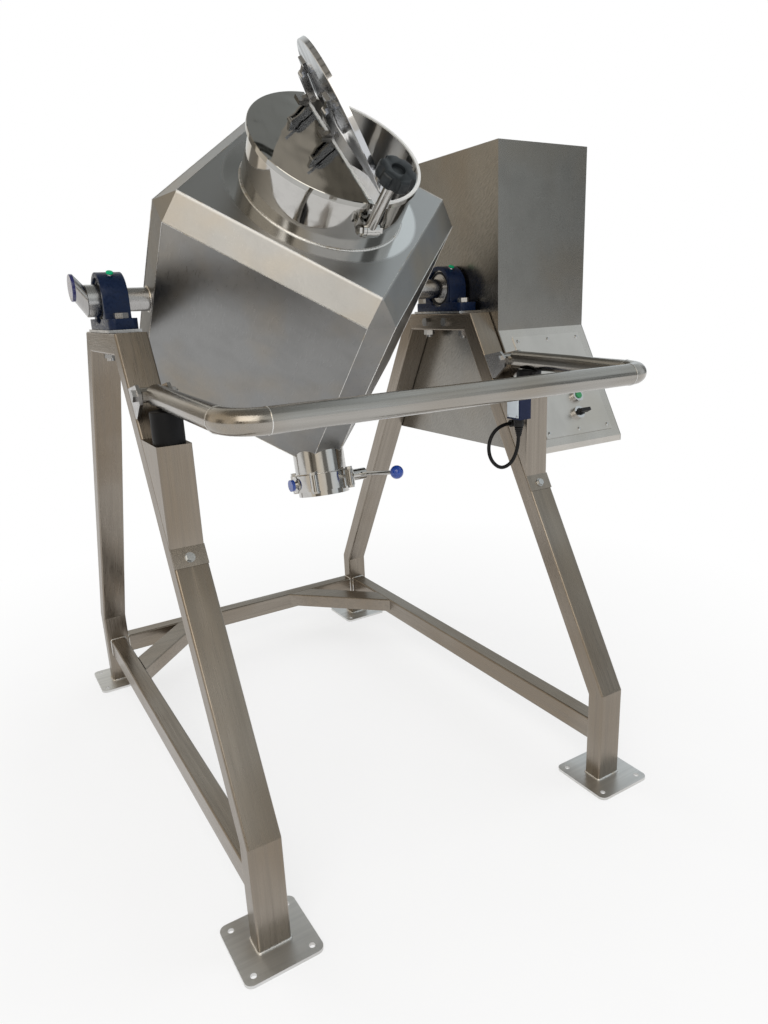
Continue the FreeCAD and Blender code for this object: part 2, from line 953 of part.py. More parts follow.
def valve_half(start, end, foot):
    # One half of the valve's body, from the seal's middle plane outwards.
    seal_half = seal_thick / 2
    low = min(start, end)
    high = max(start, end)
    body = rod_z(low, high, 0, 0, valve_radius)
    left = rod_x(boss_left, 0, 0, valve_middle, boss_radius)
    right = rod_x(0, boss_right, 0, valve_middle, boss_radius)
    slab = box(-100, 100, -100, 100, low, high)
    bosses = fused([left, right]).common(slab)
    body = fused([body, bosses])
    if foot:
        body = fused([body, rod_z(high, spigot_end, 0, 0, spout_radius)])
    body = body.cut(rod_z(0, spigot_end + tiny, 0, 0, spout_radius - spout_wall))
    body = body.cut(rod_z(valve_middle - seal_half, valve_middle + seal_half, 0, 0, valve_radius - seal_cover))
    body = body.cut(rod_x(-100, 100, 0, valve_middle, stem_radius + fit))
    for x, y in bolt_ring():
        body = body.cut(rod_z(low - tiny, high + tiny, x, y, valve_bolt_radius + fit))
    return body


def bolt_ring():
    # Four bolts hold the halves, two beside each boss.
    places = []
    for x in (-valve_bolt_across, valve_bolt_across):
        for y in (-valve_bolt_out, valve_bolt_out):
            places.append((x, y))
    return places


def valve_body_half(start, end, foot):
    low = min(start, end)
    high = max(start, end)
    body = valve_half(start, end, foot)
    ears = []
    for x, y in bolt_ring():
        ear = rod_z(low, high, x, y, valve_ear_radius)
        ear = ear.cut(rod_z(low - tiny, high + tiny, 0, 0, valve_radius - seal_cover / 2))
        ears.append(ear.cut(rod_z(low - tiny, high + tiny, x, y, valve_bolt_radius + fit)))
    return fused([body] + ears)


def valve_seal():
    half = seal_thick / 2
    body = ring(
        vec(0, 0, valve_middle - half), vec(0, 0, valve_middle + half),
        valve_radius - seal_cover - fit, valve_bore,
    )
    return body.cut(rod_x(-100, 100, 0, valve_middle, stem_radius + fit))


def valve_disc():
    half = disc_thick / 2
    blade = rod_z(valve_middle - half, valve_middle + half, 0, 0, disc_radius)
    stem = rod_x(stem_left, hub_end, 0, valve_middle, stem_radius)
    bulge = rod_x(-disc_radius + 4, disc_radius - 4, 0, valve_middle, stem_radius + 2)
    inside = rod_z(valve_middle - 30, valve_middle + 30, 0, 0, disc_radius)
    return fused([blade, stem, bulge.common(inside)])


def lever():
    hub = rod_x(hub_start, hub_end + 6, 0, valve_middle, hub_radius)
    hub = hub.cut(rod_x(hub_start - tiny, hub_end + fit, 0, valve_middle, stem_radius + fit))
    bar = rod(
        vec(lever_middle, hub_radius - 2, valve_middle),
        vec(lever_middle, lever_length - ball_radius + 4, valve_middle), lever_radius,
    )
    return fused([hub, bar])


def lever_ball():
    ball = Part.makeSphere(ball_radius, vec(lever_middle, lever_length, valve_middle))
    end = lever_length - ball_radius + 4
    return ball.cut(rod(vec(lever_middle, 0, valve_middle), vec(lever_middle, end + fit, valve_middle), lever_radius + fit))


def stem_plug():
    return rod_x(stem_left - plug_thick, stem_left, 0, valve_middle, plug_radius)


def valve_bolts():
    bolts = []
    for x, y in bolt_ring():
        shank = rod_z(valve_start, valve_end, x, y, valve_bolt_radius)
        head = hexagon(13.0, vec(x, y, valve_end), vec(0, 0, 5))
        nut = hexagon(13.0, vec(x, y, valve_start), vec(0, 0, -6))
        bolts.append(fused([shank, head, nut]))
    return group(bolts)


def build_outlet():
    save("outlet_spout", outlet_spout())
    save("valve_body_upper", on_outlet(valve_body_half(valve_start, valve_middle, False)))
    save("valve_body_lower", on_outlet(valve_body_half(valve_middle, valve_end, True)))
    save("valve_seal", on_outlet(valve_seal()))
    save("valve_disc", on_outlet(valve_disc()))
    save("valve_lever", on_outlet(lever()))
    save("lever_ball", on_outlet(lever_ball()))
    save("stem_plug", on_outlet(stem_plug()))
    save("valve_bolts", on_outlet(valve_bolts()))


# Guard


def drooped(shape):
    return turned(shape, vec(0, guard_pin_y, guard_pin_z), vec(1, 0, 0), guard_droop)


def guard_pipe(start, end):
    return ring(start, end, guard_radius, guard_radius - guard_wall)


def guard_elbow_tube():
    # A quarter bend at the left front corner.
    centre = vec(guard_elbow - frame_x, guard_front + guard_elbow, guard_pin_z)
    start = vec(-frame_x, guard_front + guard_elbow, guard_pin_z)
    rings = []
    for radius in (guard_radius, guard_radius - guard_wall):
        circle = Part.Wire(Part.makeCircle(radius, start, vec(0, 1, 0)))
        rings.append(Part.Face(circle).revolve(centre, vec(0, 0, 1), 90))
    return rings[0].cut(rings[1])


def guard_arm():
    # The left arm: its tube, the end cap and the hinge barrel on a short web.
    x = -frame_x
    tube = guard_pipe(vec(x, arm_start, guard_pin_z), vec(x, guard_front + guard_elbow, guard_pin_z))
    cap = rod(vec(x, arm_start, guard_pin_z), vec(x, arm_start - 4, guard_pin_z), guard_radius - tiny)
    half = half_wide - ear_thick - 0.5
    barrel = rod_x(x - half, x + half, guard_pin_y, guard_pin_z, barrel_radius)
    web = box(x - half, x + half, arm_start - 1, guard_pin_y, guard_pin_z - 8, guard_pin_z + 8)
    body = fused([tube, cap, barrel, web])
    return body.cut(rod_x(x - half_wide, x + half_wide, guard_pin_y, guard_pin_z, guard_pin_radius + fit))


def ear():
    # One hinge ear on the front face of the leg, in the plane x = 0, seen along X.
    top_z = guard_pin_z + 18
    low_z = guard_pin_z - 42
    outline = [
        (-leg_face(guard_pin_z + 8), guard_pin_z + 8),
        (guard_pin_y, top_z),
        (guard_pin_y - 17, guard_pin_z + 4),
        (guard_pin_y - 17, guard_pin_z - 14),
        (-leg_face(low_z) - 10, low_z),
        (-leg_face(low_z), low_z),
    ]
    plate = prism_yz(outline, 0, ear_thick)
    return plate.cut(rod_x(-tiny, ear_thick + tiny, guard_pin_y, guard_pin_z, guard_pin_radius + fit))


def guard_pin():
    half = half_wide
    pin = rod_x(-half, half, guard_pin_y, guard_pin_z, guard_pin_radius)
    head = hexagon(19.0, vec(-half, guard_pin_y, guard_pin_z), vec(-8, 0, 0))
    nut = hexagon(19.0, vec(half, guard_pin_y, guard_pin_z), vec(8, 0, 0))
    tip = rod_x(half + 8, half + 12, guard_pin_y, guard_pin_z, guard_pin_radius)
    return fused([pin, head, nut, tip])


def build_guard():
    arm = guard_arm()
    elbow = guard_elbow_tube()
    half = frame_x - guard_elbow
    bar = guard_pipe(vec(-half, guard_front, guard_pin_z), vec(half, guard_front, guard_pin_z))
    across = vec(1, 0, 0)
    save("guard_tube", drooped(fused([bar, elbow, arm, mirrored(elbow, across), mirrored(arm, across)])))
    left = ear().translated(vec(-half_wide, 0, 0))
    right = ear().translated(vec(half_wide - ear_thick, 0, 0))
    save("guard_hinges", group([pair(left), pair(right), pair(guard_pin())]))


# Drive housing


def housing_outline():
    right = [
        (housing_half_top, housing_top),
        (housing_half_top, housing_bend),
        (housing_half_low, housing_slope_end),
        (housing_half_low, housing_bottom),
    ]
    left = [(-y, z) for y, z in reversed(right)]
    return right + left


def housing_inset():
    # The inside of the wrapped sheet, with its slopes one sheet in.
    s = housing_sheet
    slope = math.atan2(housing_half_low - housing_half_top, housing_bend - housing_slope_end)
    shift = s * math.tan(slope / 2)
    right = [
        (housing_half_top - s, housing_top - s),
        (housing_half_top - s, housing_bend - shift),
        (housing_half_low - s, housing_slope_end - shift),
        (housing_half_low - s, housing_bottom),
    ]
    left = [(-y, z) for y, z in reversed(right)]
    return right + left


def housing_wrap():
    x0 = frame_x + half_wide + housing_sheet
    x1 = housing_end - housing_sheet
    outside = prism_yz(housing_outline(), x0, x1)
    inside = prism_yz(housing_inset(), x0 - tiny, x1 + tiny)
    low = box(x0 - tiny, x1 + tiny, -housing_half_low, housing_half_low, 0, housing_bottom)
    return outside.cut(inside).cut(low)


def slope_frame():
    # The top edge of the front slope, the way down it and the way out of it.
    drop = vec(0, -(housing_half_low - housing_half_top), housing_slope_end - housing_bend).normalize()
    out = vec(0, drop.z, -drop.y)
    return vec(0, -housing_half_top, housing_bend), drop, out


def on_slope(x, down, height):
    start, drop, out = slope_frame()
    return start + drop * down + out * height + vec(x, 0, 0)


def slope_block(x0, x1, d0, d1, h0, h1):
    corners = [on_slope(x0, d0, h0), on_slope(x1, d0, h0), on_slope(x1, d1, h0), on_slope(x0, d1, h0)]
    start, drop, out = slope_frame()
    return closed(corners).extrude(out * (h1 - h0))


def slope_rod(place, h0, h1, radius):
    return rod(on_slope(place[0], place[1], h0), on_slope(place[0], place[1], h1), radius)


def panel_span():
    half = panel_wide / 2
    return panel_middle - half, panel_middle + half


def housing_pieces():
    wrap = housing_wrap()
    x0, x1 = panel_span()
    window = slope_block(
        x0 + window_margin, x1 - window_margin,
        panel_from + window_margin, panel_to - window_margin, -window_margin, window_margin,
    )
    big = 2000
    upper = wrap.common(box(0, big, -big, big, housing_bend, big))
    front = wrap.common(box(0, big, -big, 0, 0, housing_bend)).cut(window)
    rear = wrap.common(box(0, big, 0, big, 0, housing_bend))
    for place in screw_places():
        front = front.cut(slope_rod(place, -10, 10, 2.5 + fit))
    return upper, front, rear


def side_plate(x0):
    return prism_yz(housing_outline(), x0, x0 + housing_sheet)


def screw_places():
    xs = [panel_middle - screw_across, panel_middle, panel_middle + screw_across]
    return [(x, panel_from + panel_margin) for x in xs] + [(x, panel_to - panel_margin) for x in xs]


def control_panel():
    x0, x1 = panel_span()
    plate = slope_block(x0, x1, panel_from, panel_to, 0, panel_sheet)
    for place in (selector_place, button_place):
        plate = plate.cut(slope_rod(place, -tiny, panel_sheet + tiny, 11.0 + fit))
    for place in screw_places():
        plate = plate.cut(slope_rod(place, -tiny, panel_sheet + tiny, 2.5 + fit))
    return plate


def panel_screw(place):
    shank = slope_rod(place, -8, panel_sheet, 2.5)
    start, drop, out = slope_frame()
    seat = on_slope(place[0], place[1], panel_sheet)
    head = Part.makeCone(m5_head_radius, m5_head_radius * 0.6, m5_head_height, seat, out)
    return fused([shank, head])


def switch_bezel(place):
    # A round collar on the panel, with its body behind.
    collar = slope_rod(place, panel_sheet, panel_sheet + 9, bezel_radius)
    body = slope_rod(place, -28, panel_sheet, 11.0)
    whole = fused([collar, body])
    return whole.cut(slope_rod(place, -6, panel_sheet + 9 + tiny, 9.0))


def selector_knob():
    # A turning boss with a blade across it, its pointer to the right.
    x, down = selector_place
    boss = slope_rod(selector_place, -5, panel_sheet + 10, 8.9)
    blade = slope_block(x - 8, x + 22, down - 4, down + 4, panel_sheet + 10, panel_sheet + 24)
    return fused([boss, blade])


def button_cap():
    cap = slope_rod(button_place, -1, panel_sheet + 12, 8.9)
    far = [e for e in cap.Edges if e.Closed]
    top = max(far, key=lambda e: (e.CenterOfMass - on_slope(button_place[0], button_place[1], 0)).Length)
    return cap.makeFillet(1.5, [top])


def bottom_plate():
    x0 = frame_x + half_wide + housing_sheet
    x1 = housing_end - housing_sheet
    half = housing_half_low - housing_sheet
    z0 = housing_bottom
    plate = box(x0, x1, -half, half, z0, z0 + housing_sheet)
    return plate.cut(rod_z(z0 - tiny, z0 + housing_sheet + tiny, x1 - 60, half - 80, 10.0 + fit))


def cable_gland():
    x = housing_end - housing_sheet - 60
    y = housing_half_low - housing_sheet - 80
    z = housing_bottom
    thread = rod_z(z - 4, z + housing_sheet + 8, x, y, 10.0)
    dome = rod_z(z - 22, z - 4, x, y, 12.0)
    flats = hexagon(27.0, vec(x, y, z), vec(0, 0, -9))
    return fused([thread, dome, flats]).cut(rod_z(z - 30, z + 20, x, y, 5.0))


def build_housing():
    upper, front, rear = housing_pieces()
    inner = side_plate(frame_x + half_wide)
    inner = inner.cut(rod_x(frame_x, gear_from, 0, shaft_z, shaft_window))
    inner = inner.cut(gear_bolt_holes(frame_x, gear_from))
    save("housing_upper_cover", upper)
    save("housing_skirts", group([front, rear]))
    save("housing_sides", group([inner, side_plate(housing_end - housing_sheet)]))
    save("housing_bottom_plate", bottom_plate())
    save("control_panel", control_panel())
    save("switch_bezels", group([switch_bezel(selector_place), switch_bezel(button_place)]))
    save("selector_knob", selector_knob())
    save("start_button", button_cap())


# Drive inside the housing


def mount_z():
    return beam_top - half_deep


def gear_bolt_holes(x0, x1):
    return group([rod_x(x0, x1, y, mount_z(), m12_radius + fit) for y in (-mount_y, mount_y)])


def gear_case():
    middle = (gear_from + gear_to) / 2
    low = shaft_z - gear_below
    high = shaft_z + gear_above
    body = rounded_plate(box(gear_from, gear_to, -gear_half, gear_half + 30, low, high), 12.0)
    faces = rod_x(gear_from - 6, gear_to + 4, 0, shaft_z, 52.0)
    body = fused([body, faces])
    body = body.cut(rod_x(gear_from - 10, gear_to + 10, 0, shaft_z, sleeve_radius + fit))
    for y in (-mount_y, mount_y):
        body = body.cut(rod_x(gear_from - 10, gear_from + 30, y, mount_z(), m12_radius + fit))
    return body, middle, high


def gear_sleeve():
    sleeve = ring(
        vec(gear_from - 8, 0, shaft_z), vec(gear_to + 6, 0, shaft_z),
        sleeve_radius, shaft_radius + fit,
    )
    return group([sleeve.cut(drive_key_shape(fit)), drive_key_shape(0)])


def mount_spacers():
    tubes = []
    for y in (-mount_y, mount_y):
        x0 = frame_x + half_wide + housing_sheet
        tubes.append(ring(vec(x0, y, mount_z()), vec(gear_from, y, mount_z()), 11.0, m12_radius + fit))
    return group(tubes)


def mount_bolts():
    bolts = []
    for y in (-mount_y, mount_y):
        x0 = frame_x - half_wide
        shank = rod_x(x0, gear_from + 28, y, mount_z(), m12_radius)
        head = hexagon(19.0, vec(x0, y, mount_z()), vec(-8, 0, 0))
        bolts.append(fused([shank, head]))
    return group(bolts)


def motor_body(middle, low):
    top = low + motor_flange + motor_height
    flange = rod_z(low, low + motor_flange, middle, motor_y, 55.0)
    body = rod_z(low + motor_flange, top, middle, motor_y, motor_radius - 8)
    box_part = box(middle + 30, middle + 92, motor_y - 35, motor_y + 35, low + 50, low + 115)
    shield = rod_z(top - cowl_seat, top, middle, motor_y, motor_radius - cowl_sheet - fit)
    whole = fused([flange, body, shield, box_part])
    return whole.cut(rod_z(top - 30, top + tiny, middle, motor_y, fan_shaft_radius + fit)), top


def fan_cowl(middle, low):
    # A cap over the fan, pushed on to the motor's end shield, with air holes in its top.
    top = low + cowl_height
    outer = rod_z(low - cowl_seat, top, middle, motor_y, motor_radius)
    inner = rod_z(low - cowl_seat, top - cowl_sheet, middle, motor_y, motor_radius - cowl_sheet)
    cowl = outer.cut(inner)
    for step in range(cowl_holes):
        angle = math.radians(360.0 / cowl_holes * step)
        x = middle + cowl_hole_ring * math.cos(angle)
        y = motor_y + cowl_hole_ring * math.sin(angle)
        cowl = cowl.cut(rod_z(low, top + tiny, x, y, cowl_hole_radius))
    return cowl


def motor_fan(middle, low):
    y = motor_y
    shaft = rod_z(low - 28, low + 26, middle, y, fan_shaft_radius)
    hub = rod_z(low + 8, low + 26, middle, y, 20.0)
    back = rod_z(low + 6, low + 9, middle, y, fan_radius - 4)
    blades = []
    for step in range(6):
        blade = box(middle, middle + fan_radius, y - 1.5, y + 1.5, low + 6, low + 32)
        blades.append(turned(blade, vec(middle, y, 0), vec(0, 0, 1), 60 * step))
    return fused([shaft, hub, back] + blades)


def build_drive():
    case, middle, high = gear_case()
    save("gear_case", case)
    save("gear_output_sleeve", gear_sleeve())
    save("gear_mounts", group([mount_spacers(), mount_bolts()]))
    body, top = motor_body(middle, high)
    save("motor_body", group([body, fan_cowl(middle, top)]))
    save("motor_fan", motor_fan(middle, top))


# Safety switch


def switch_middle():
    return frame_x - half_wide - switch_deep / 2, switch_front + switch_wide / 2


def switch_body():
    x, y = switch_middle()
    deep = switch_deep / 2
    wide = switch_wide / 2
    half = head_size / 2
    low = switch_low
    high = low + switch_height
    body = rounded_plate(box(x - deep, x + deep, y - wide, y + wide, low, high), 2.0)
    head = box(x - half, x + half, y - half, y + half, high, high + head_height)
    return fused([body, head])


def arm_axis():
    # The lever turns on the front of the head.
    x, y = switch_middle()
    return x, y - head_size / 2, switch_low + switch_height + head_height / 2


def roller_centre():
    x, y, z = arm_axis()
    rise = guard_underside(y - 14.0) - near - roller_radius - z
    run = math.sqrt(switch_arm ** 2 - rise ** 2)
    return x + run, z + rise


def switch_lever():
    # An arm on the front of the head, with a roller under the guard's arm.
    x, y, z = arm_axis()
    rx, rz = roller_centre()
    angle = math.degrees(math.atan2(rz - z, rx - x))
    hub = rod(vec(x, y - near, z), vec(x, y - 7, z), 7.0)
    arm = box(x, x + switch_arm, y - 5, y - 2, z - 4, z + 4)
    arm = turned(arm, vec(x, y, z), vec(0, -1, 0), angle)
    roller = rod(vec(rx, y - 2, rz), vec(rx, y - 14, rz), roller_radius)
    return fused([hub, arm, roller])


def switch_gland():
    x, y = switch_middle()
    low = switch_low - gland_length
    nut = hexagon(20.0, vec(x, y, switch_low), vec(0, 0, -6))
    dome = rod_z(low, switch_low - 6, x, y, gland_radius)
    return fused([nut, dome])


def grommet():
    y, z = grommet_place
    face = frame_x - half_wide
    return rod_x(face - 5, face, y, z, 8.0)


def cable_points():
    x, y = switch_middle()
    low = switch_low - gland_length
    end_y, end_z = grommet_place
    face = frame_x - half_wide - 5
    return [
        vec(x, y, low),
        vec(x, y, low - 28),
        vec(x - 4, y + 2, low - 58),
        vec(x - 17, y + 7, low - 84),
        vec(x - 40, y + 15, low - 92),
        vec(x - 58, y + 26, low - 72),
        vec(x - 57, y + 36, low - 42),
        vec(x - 40, end_y - 1, low - 14),
        vec(face - 22, end_y, end_z),
        vec(face, end_y, end_z),
    ]


def cord_path(points):
    # Straight runs joined by tangent arcs, each as large as its two runs allow.
    edges = []
    radii = []
    here = points[0]
    for before, corner, after in zip(points, points[1:], points[2:]):
        back = (before - corner).normalize()
        ahead = (after - corner).normalize()
        turn = math.pi - math.acos(max(-1, min(1, back.dot(ahead))))
        short = min((before - corner).Length, (after - corner).Length)
        reach = 0.45 * short
        radii.append(reach / math.tan(turn / 2))
        start = corner + back * reach
        end = corner + ahead * reach
        middle_way = (back + ahead).normalize()
        centre = corner + middle_way * math.hypot(reach, radii[-1])
        middle = centre - middle_way * radii[-1]
        edges.append(Part.LineSegment(here, start).toShape())
        edges.append(Part.Arc(start, middle, end).toShape())
        here = end
    edges.append(Part.LineSegment(here, points[-1]).toShape())
    return Part.Wire(edges), radii


def switch_cable():
    points = cable_points()
    path, radii = cord_path(points)
    circle = Part.Wire(Part.makeCircle(cable_radius, points[0], points[1] - points[0]))
    tube = path.makePipe(Part.Face(circle))
    print("switch cable length", round(path.Length, 1))
    print("switch cable bend radii", [round(r, 1) for r in radii])
    print("switch cable volume ratio", round(tube.Volume / (math.pi * cable_radius ** 2 * path.Length), 4))
    return tube


def build_switch():
    save("switch_body", switch_body())
    save("switch_lever", switch_lever())
    save("cable_glands", group([switch_gland(), grommet(), cable_gland()]))
    save("switch_cable", switch_cable())


os.makedirs("parts", exist_ok=True)
build_frame()
build_posts()
build_bearings()
build_vessel()
build_outlet()
build_guard()
build_housing()
build_drive()
build_switch()
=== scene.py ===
import math

import bmesh
import bpy
from bpy.props import FloatProperty, FloatVectorProperty, IntProperty, PointerProperty
from bpy.types import Operator, Panel, PropertyGroup
from mathutils import Matrix, Vector


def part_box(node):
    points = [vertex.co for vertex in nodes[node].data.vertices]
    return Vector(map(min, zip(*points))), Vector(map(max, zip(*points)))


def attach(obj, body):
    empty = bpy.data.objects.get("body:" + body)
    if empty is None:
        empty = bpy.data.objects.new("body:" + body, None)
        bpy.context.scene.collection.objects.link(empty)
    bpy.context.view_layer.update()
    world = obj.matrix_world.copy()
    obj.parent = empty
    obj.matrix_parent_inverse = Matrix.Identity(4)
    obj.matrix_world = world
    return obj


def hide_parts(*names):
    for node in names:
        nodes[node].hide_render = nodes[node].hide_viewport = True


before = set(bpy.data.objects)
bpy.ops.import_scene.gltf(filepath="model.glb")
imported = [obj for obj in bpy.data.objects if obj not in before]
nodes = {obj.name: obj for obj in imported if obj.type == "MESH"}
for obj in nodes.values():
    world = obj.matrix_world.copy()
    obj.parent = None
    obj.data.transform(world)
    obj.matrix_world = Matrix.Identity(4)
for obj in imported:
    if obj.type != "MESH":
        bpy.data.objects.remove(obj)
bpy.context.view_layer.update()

bl_info = {
    "name": "Cubic powder mixer",
    "version": (1, 0, 0),
    "blender": (4, 5, 0),
    "location": "View3D > Sidebar > Mixer",
    "description": "Dresses the packed mixer with its finishes, welds, seals, controls and cable",
    "category": "Object",
}

# The hall that polished steel reflects, from straight down (0) to straight up (1).
HALL_TONES = (
    (0.0, (0.55, 0.54, 0.52)), (0.48, (0.8, 0.8, 0.8)), (0.56, (0.97, 0.97, 0.97)),
    (0.72, (0.78, 0.78, 0.77)), (0.86, (0.70, 0.70, 0.69)), (0.9, (0.36, 0.355, 0.34)),
    (1.0, (0.30, 0.295, 0.28)),
)
CEILING_BEAMS = 36.0
WALL_BANDS = 7.0

MERGE = 0.00002


def metres(name, description, default):
    return FloatProperty(name=name, description=description, default=default, unit="LENGTH")


def degrees(name, description, default):
    angle = math.radians(default)
    return FloatProperty(name=name, description=description, default=angle, subtype="ANGLE")


def swatch(name, description, default):
    return FloatVectorProperty(name=name, description=description, default=default, subtype="COLOR")


class FrameSizes(PropertyGroup):
    gauge: metres("Frame gauge", "Distance between the two side frames", 0.8)
    foot_depth: metres("Foot depth", "Distance between front and rear feet", 1.1172)
    tube_wide: metres("Tube width", "Size of the tube across the machine", 0.06)
    tube_deep: metres("Tube depth", "Size of the tube in the side frame", 0.04)
    plate_top: metres("Foot plate top", "Height of the foot plates' upper face", 0.006)
    rail_top: metres("Rail top", "Height of the lower rails' upper face", 0.134)
    rail_high: metres("Rail height", "Height of the lower rails' section", 0.05)
    knee: metres("Knee height", "Height where the legs turn upright", 0.215)
    weld: metres("Weld radius", "Radius of the fillet welds", 0.0026)
    steel: swatch("Frame steel", "Brushed steel of the frame", (0.305, 0.270, 0.230))
    steel_warm: swatch("Warm streaks", "Warmer streaks in the brushed steel", (0.25, 0.208, 0.162))


class VesselSizes(PropertyGroup):
    shift: metres("Vessel shift", "Offset of the vessel along the shafts", -0.012)
    height: metres("Shaft height", "Height of the trunnions", 1.064)
    tilt: degrees("Tilt", "Tilt of the manway towards the front", 43.4)
    cube_half: metres("Half cube", "Half of the cube's edge", 0.245)
    neck: metres("Neck radius", "Outer radius of the manway neck", 0.16)
    polish: metres("Polished zone", "Radius of the polished zone around the neck", 0.192)
    spout: metres("Spout radius", "Outer radius of the outlet spout", 0.05715)
    ferrule: metres("Ferrule weld", "Distance of the spout's lower weld from the middle", 0.3955)
    rim: metres("Rim radius", "Radius of the manway's rim", 0.165)
    lid: metres("Lid top", "Height of the lid's upper face over the middle", 0.3495)
    seam: metres("Seam radius", "Radius of the ground seams on the vessel", 0.0009)
    satin: swatch("Satin steel", "Satin finish of the vessel", (0.268, 0.268, 0.265))
    straw: swatch("Straw tint", "Warm tint beside the welds", (0.30, 0.264, 0.214))
    mirror: swatch("Mirror steel", "Mirror polish of the manway and valve", (0.50, 0.49, 0.47))


class GuardSizes(PropertyGroup):
    radius: metres("Guard radius", "Outer radius of the guard tube", 0.019)
    front: metres("Guard front", "Place of the front tube", -0.622)
    elbow: metres("Elbow radius", "Centre-line radius of the elbows", 0.05)
    pin_y: metres("Pin place", "Place of the guard's pins", -0.242)
    pin_z: metres("Pin height", "Height of the guard's pins", 0.903)
    droop: degrees("Droop", "Downward slope of the resting guard", 1.3)


class BearingSizes(PropertyGroup):
    paint: swatch("Bearing paint", "Blue paint on the cast blocks", (0.0025, 0.010, 0.036))
    nipple: metres("Grease nipple", "Radius of the grease nipple", 0.004)
    lean: degrees("Nipple lean", "Lean of the nipple towards the front", 28)
    cap: swatch("Nipple cap", "Green plastic cap of the nipple", (0.0, 0.42, 0.18))
    edge: metres("Cast edge", "Rounding of the cast edges", 0.0025)


class ControlSizes(PropertyGroup):
    green: swatch("Start green", "Green of the start button", (0.03, 0.25, 0.09))
    black: swatch("Selector black", "Black of the selector", (0.012, 0.012, 0.013))
    switch_body: swatch("Switch body", "Dark blue of the safety switch", (0.008, 0.014, 0.045))
    switch_cover: swatch("Switch cover", "Grey of the switch's cover", (0.66, 0.72, 0.78))
    ball: swatch("Ball blue", "Blue of the lever ball and the plug", (0.004, 0.045, 0.30))
    port: swatch("Port cap", "Blue of the shaft port's cap", (0.014, 0.016, 0.10))


class CableSizes(PropertyGroup):
    radius: metres("Cable radius", "Outer radius of the switch cable", 0.004)
    length: metres("Cable length", "Length between the gland and the grommet", 0.255)
    ribs: IntProperty(name="Gland ribs", description="Ribs on the strain relief", default=5)


class StageSizes(PropertyGroup):
    floor: metres("Floor size", "Width of the floor", 24.0)
    background: FloatProperty(
        name="Background", description="Brightness of the background", default=1.0,
    )
    key: FloatProperty(name="Key light", description="Power of the large front light", default=62.0)
    fill: FloatProperty(name="Fill light", description="Power of the side light", default=34.0)
    rear: FloatProperty(name="Rear light", description="Power of the rear light", default=40.0)
    bounce: FloatProperty(
        name="Bounce", description="Light bounced about inside the open vessel", default=2.0,
    )
    bounce_size: metres("Bounce size", "Radius of the light inside the vessel", 0.16)
    bounce_place: FloatVectorProperty(
        name="Bounce place", description="Middle of the light inside the vessel",
        subtype="TRANSLATION", default=(-0.012, 0, 1.05),
    )
    lens: FloatProperty(
        name="Lens", description="Focal length on a 36 mm tall sensor", default=25.55,
    )


def moved(x, y, z):
    return Matrix.Translation((x, y, z))


def quarter(axis, sign=1):
    """A quarter turn about X, Y or Z."""
    return Matrix.Rotation(sign * math.pi / 2, 4, axis)


def deselect():
    if bpy.context.object is not None and bpy.context.object.mode != "OBJECT":
        bpy.ops.object.mode_set(mode="OBJECT")
    bpy.ops.object.select_all(action="DESELECT")


def activate(piece):
    deselect()
    piece.select_set(True)
    bpy.context.view_layer.objects.active = piece


def edit(piece):
    """Opens a piece in edit mode with all of it selected."""
    activate(piece)
    bpy.ops.object.mode_set(mode="EDIT")
    bpy.ops.mesh.select_all(action="SELECT")


def settle(piece, matrix=None):
    """Puts a piece's place into its mesh, with an extra placing matrix where one is given."""
    bpy.context.view_layer.update()
    place = piece.matrix_world.copy()
    if matrix is not None:
        place = matrix @ place
    piece.data.transform(place)
    piece.matrix_world = Matrix.Identity(4)
    piece.data.update()


def piece_done(piece, name, body, finish, angle=40.0):
    """Names, dresses and smooths a finished piece, and says which body it rides on."""
    piece.name = name
    piece.data.name = name
    piece.data.materials.clear()
    piece.data.materials.append(finish)
    activate(piece)
    bpy.ops.object.shade_smooth_by_angle(angle=math.radians(angle))
    deselect()
    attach(piece, body)
    return piece


def joined(pieces):
    deselect()
    for piece in pieces:
        piece.select_set(True)
    bpy.context.view_layer.objects.active = pieces[0]
    if len(pieces) > 1:
        bpy.ops.object.join()
    whole = bpy.context.view_layer.objects.active
    deselect()
    return whole


def vessel_place():
    sizes = bpy.context.scene.mixer_vessel
    return moved(sizes.shift, 0, sizes.height) @ Matrix.Rotation(sizes.tilt, 4, "X")


def outlet_place():
    """Z runs down the outlet from the vessel's middle, X stays along the shafts."""
    axis = Vector((0, -math.sqrt(2 / 3), -math.sqrt(1 / 3)))
    across = Vector((1, 0, 0))
    front = axis.cross(across)
    turn = Matrix((across, front, axis)).transposed().to_4x4()
    return vessel_place() @ turn


def ring(radius, thickness, height, place, around=96, section=10):
    deselect()
    bpy.ops.mesh.primitive_torus_add(
        major_radius=radius, minor_radius=thickness, major_segments=around, minor_segments=section,
        location=(0, 0, height),
    )
    piece = bpy.context.active_object
    settle(piece, place)
    return piece


def disc(radius, low, high, place, sides=48, edge=0.0, segments=2):
    """A turned disc along Z with its two rims rounded off."""
    deselect()
    bpy.ops.mesh.primitive_cylinder_add(
        vertices=sides, radius=radius, depth=high - low, location=(0, 0, (low + high) / 2),
    )
    piece = bpy.context.active_object
    settle(piece)
    if edge:
        soften(piece, edge, segments)
    settle(piece, place)
    return piece


def soften(piece, width, segments=2, angle=35.0):
    activate(piece)
    bevel = piece.modifiers.new("edge", "BEVEL")
    bevel.width = width
    bevel.segments = segments
    bevel.limit_method = "ANGLE"
    bevel.angle_limit = math.radians(angle)
    bpy.ops.object.modifier_apply(modifier="edge")
    deselect()


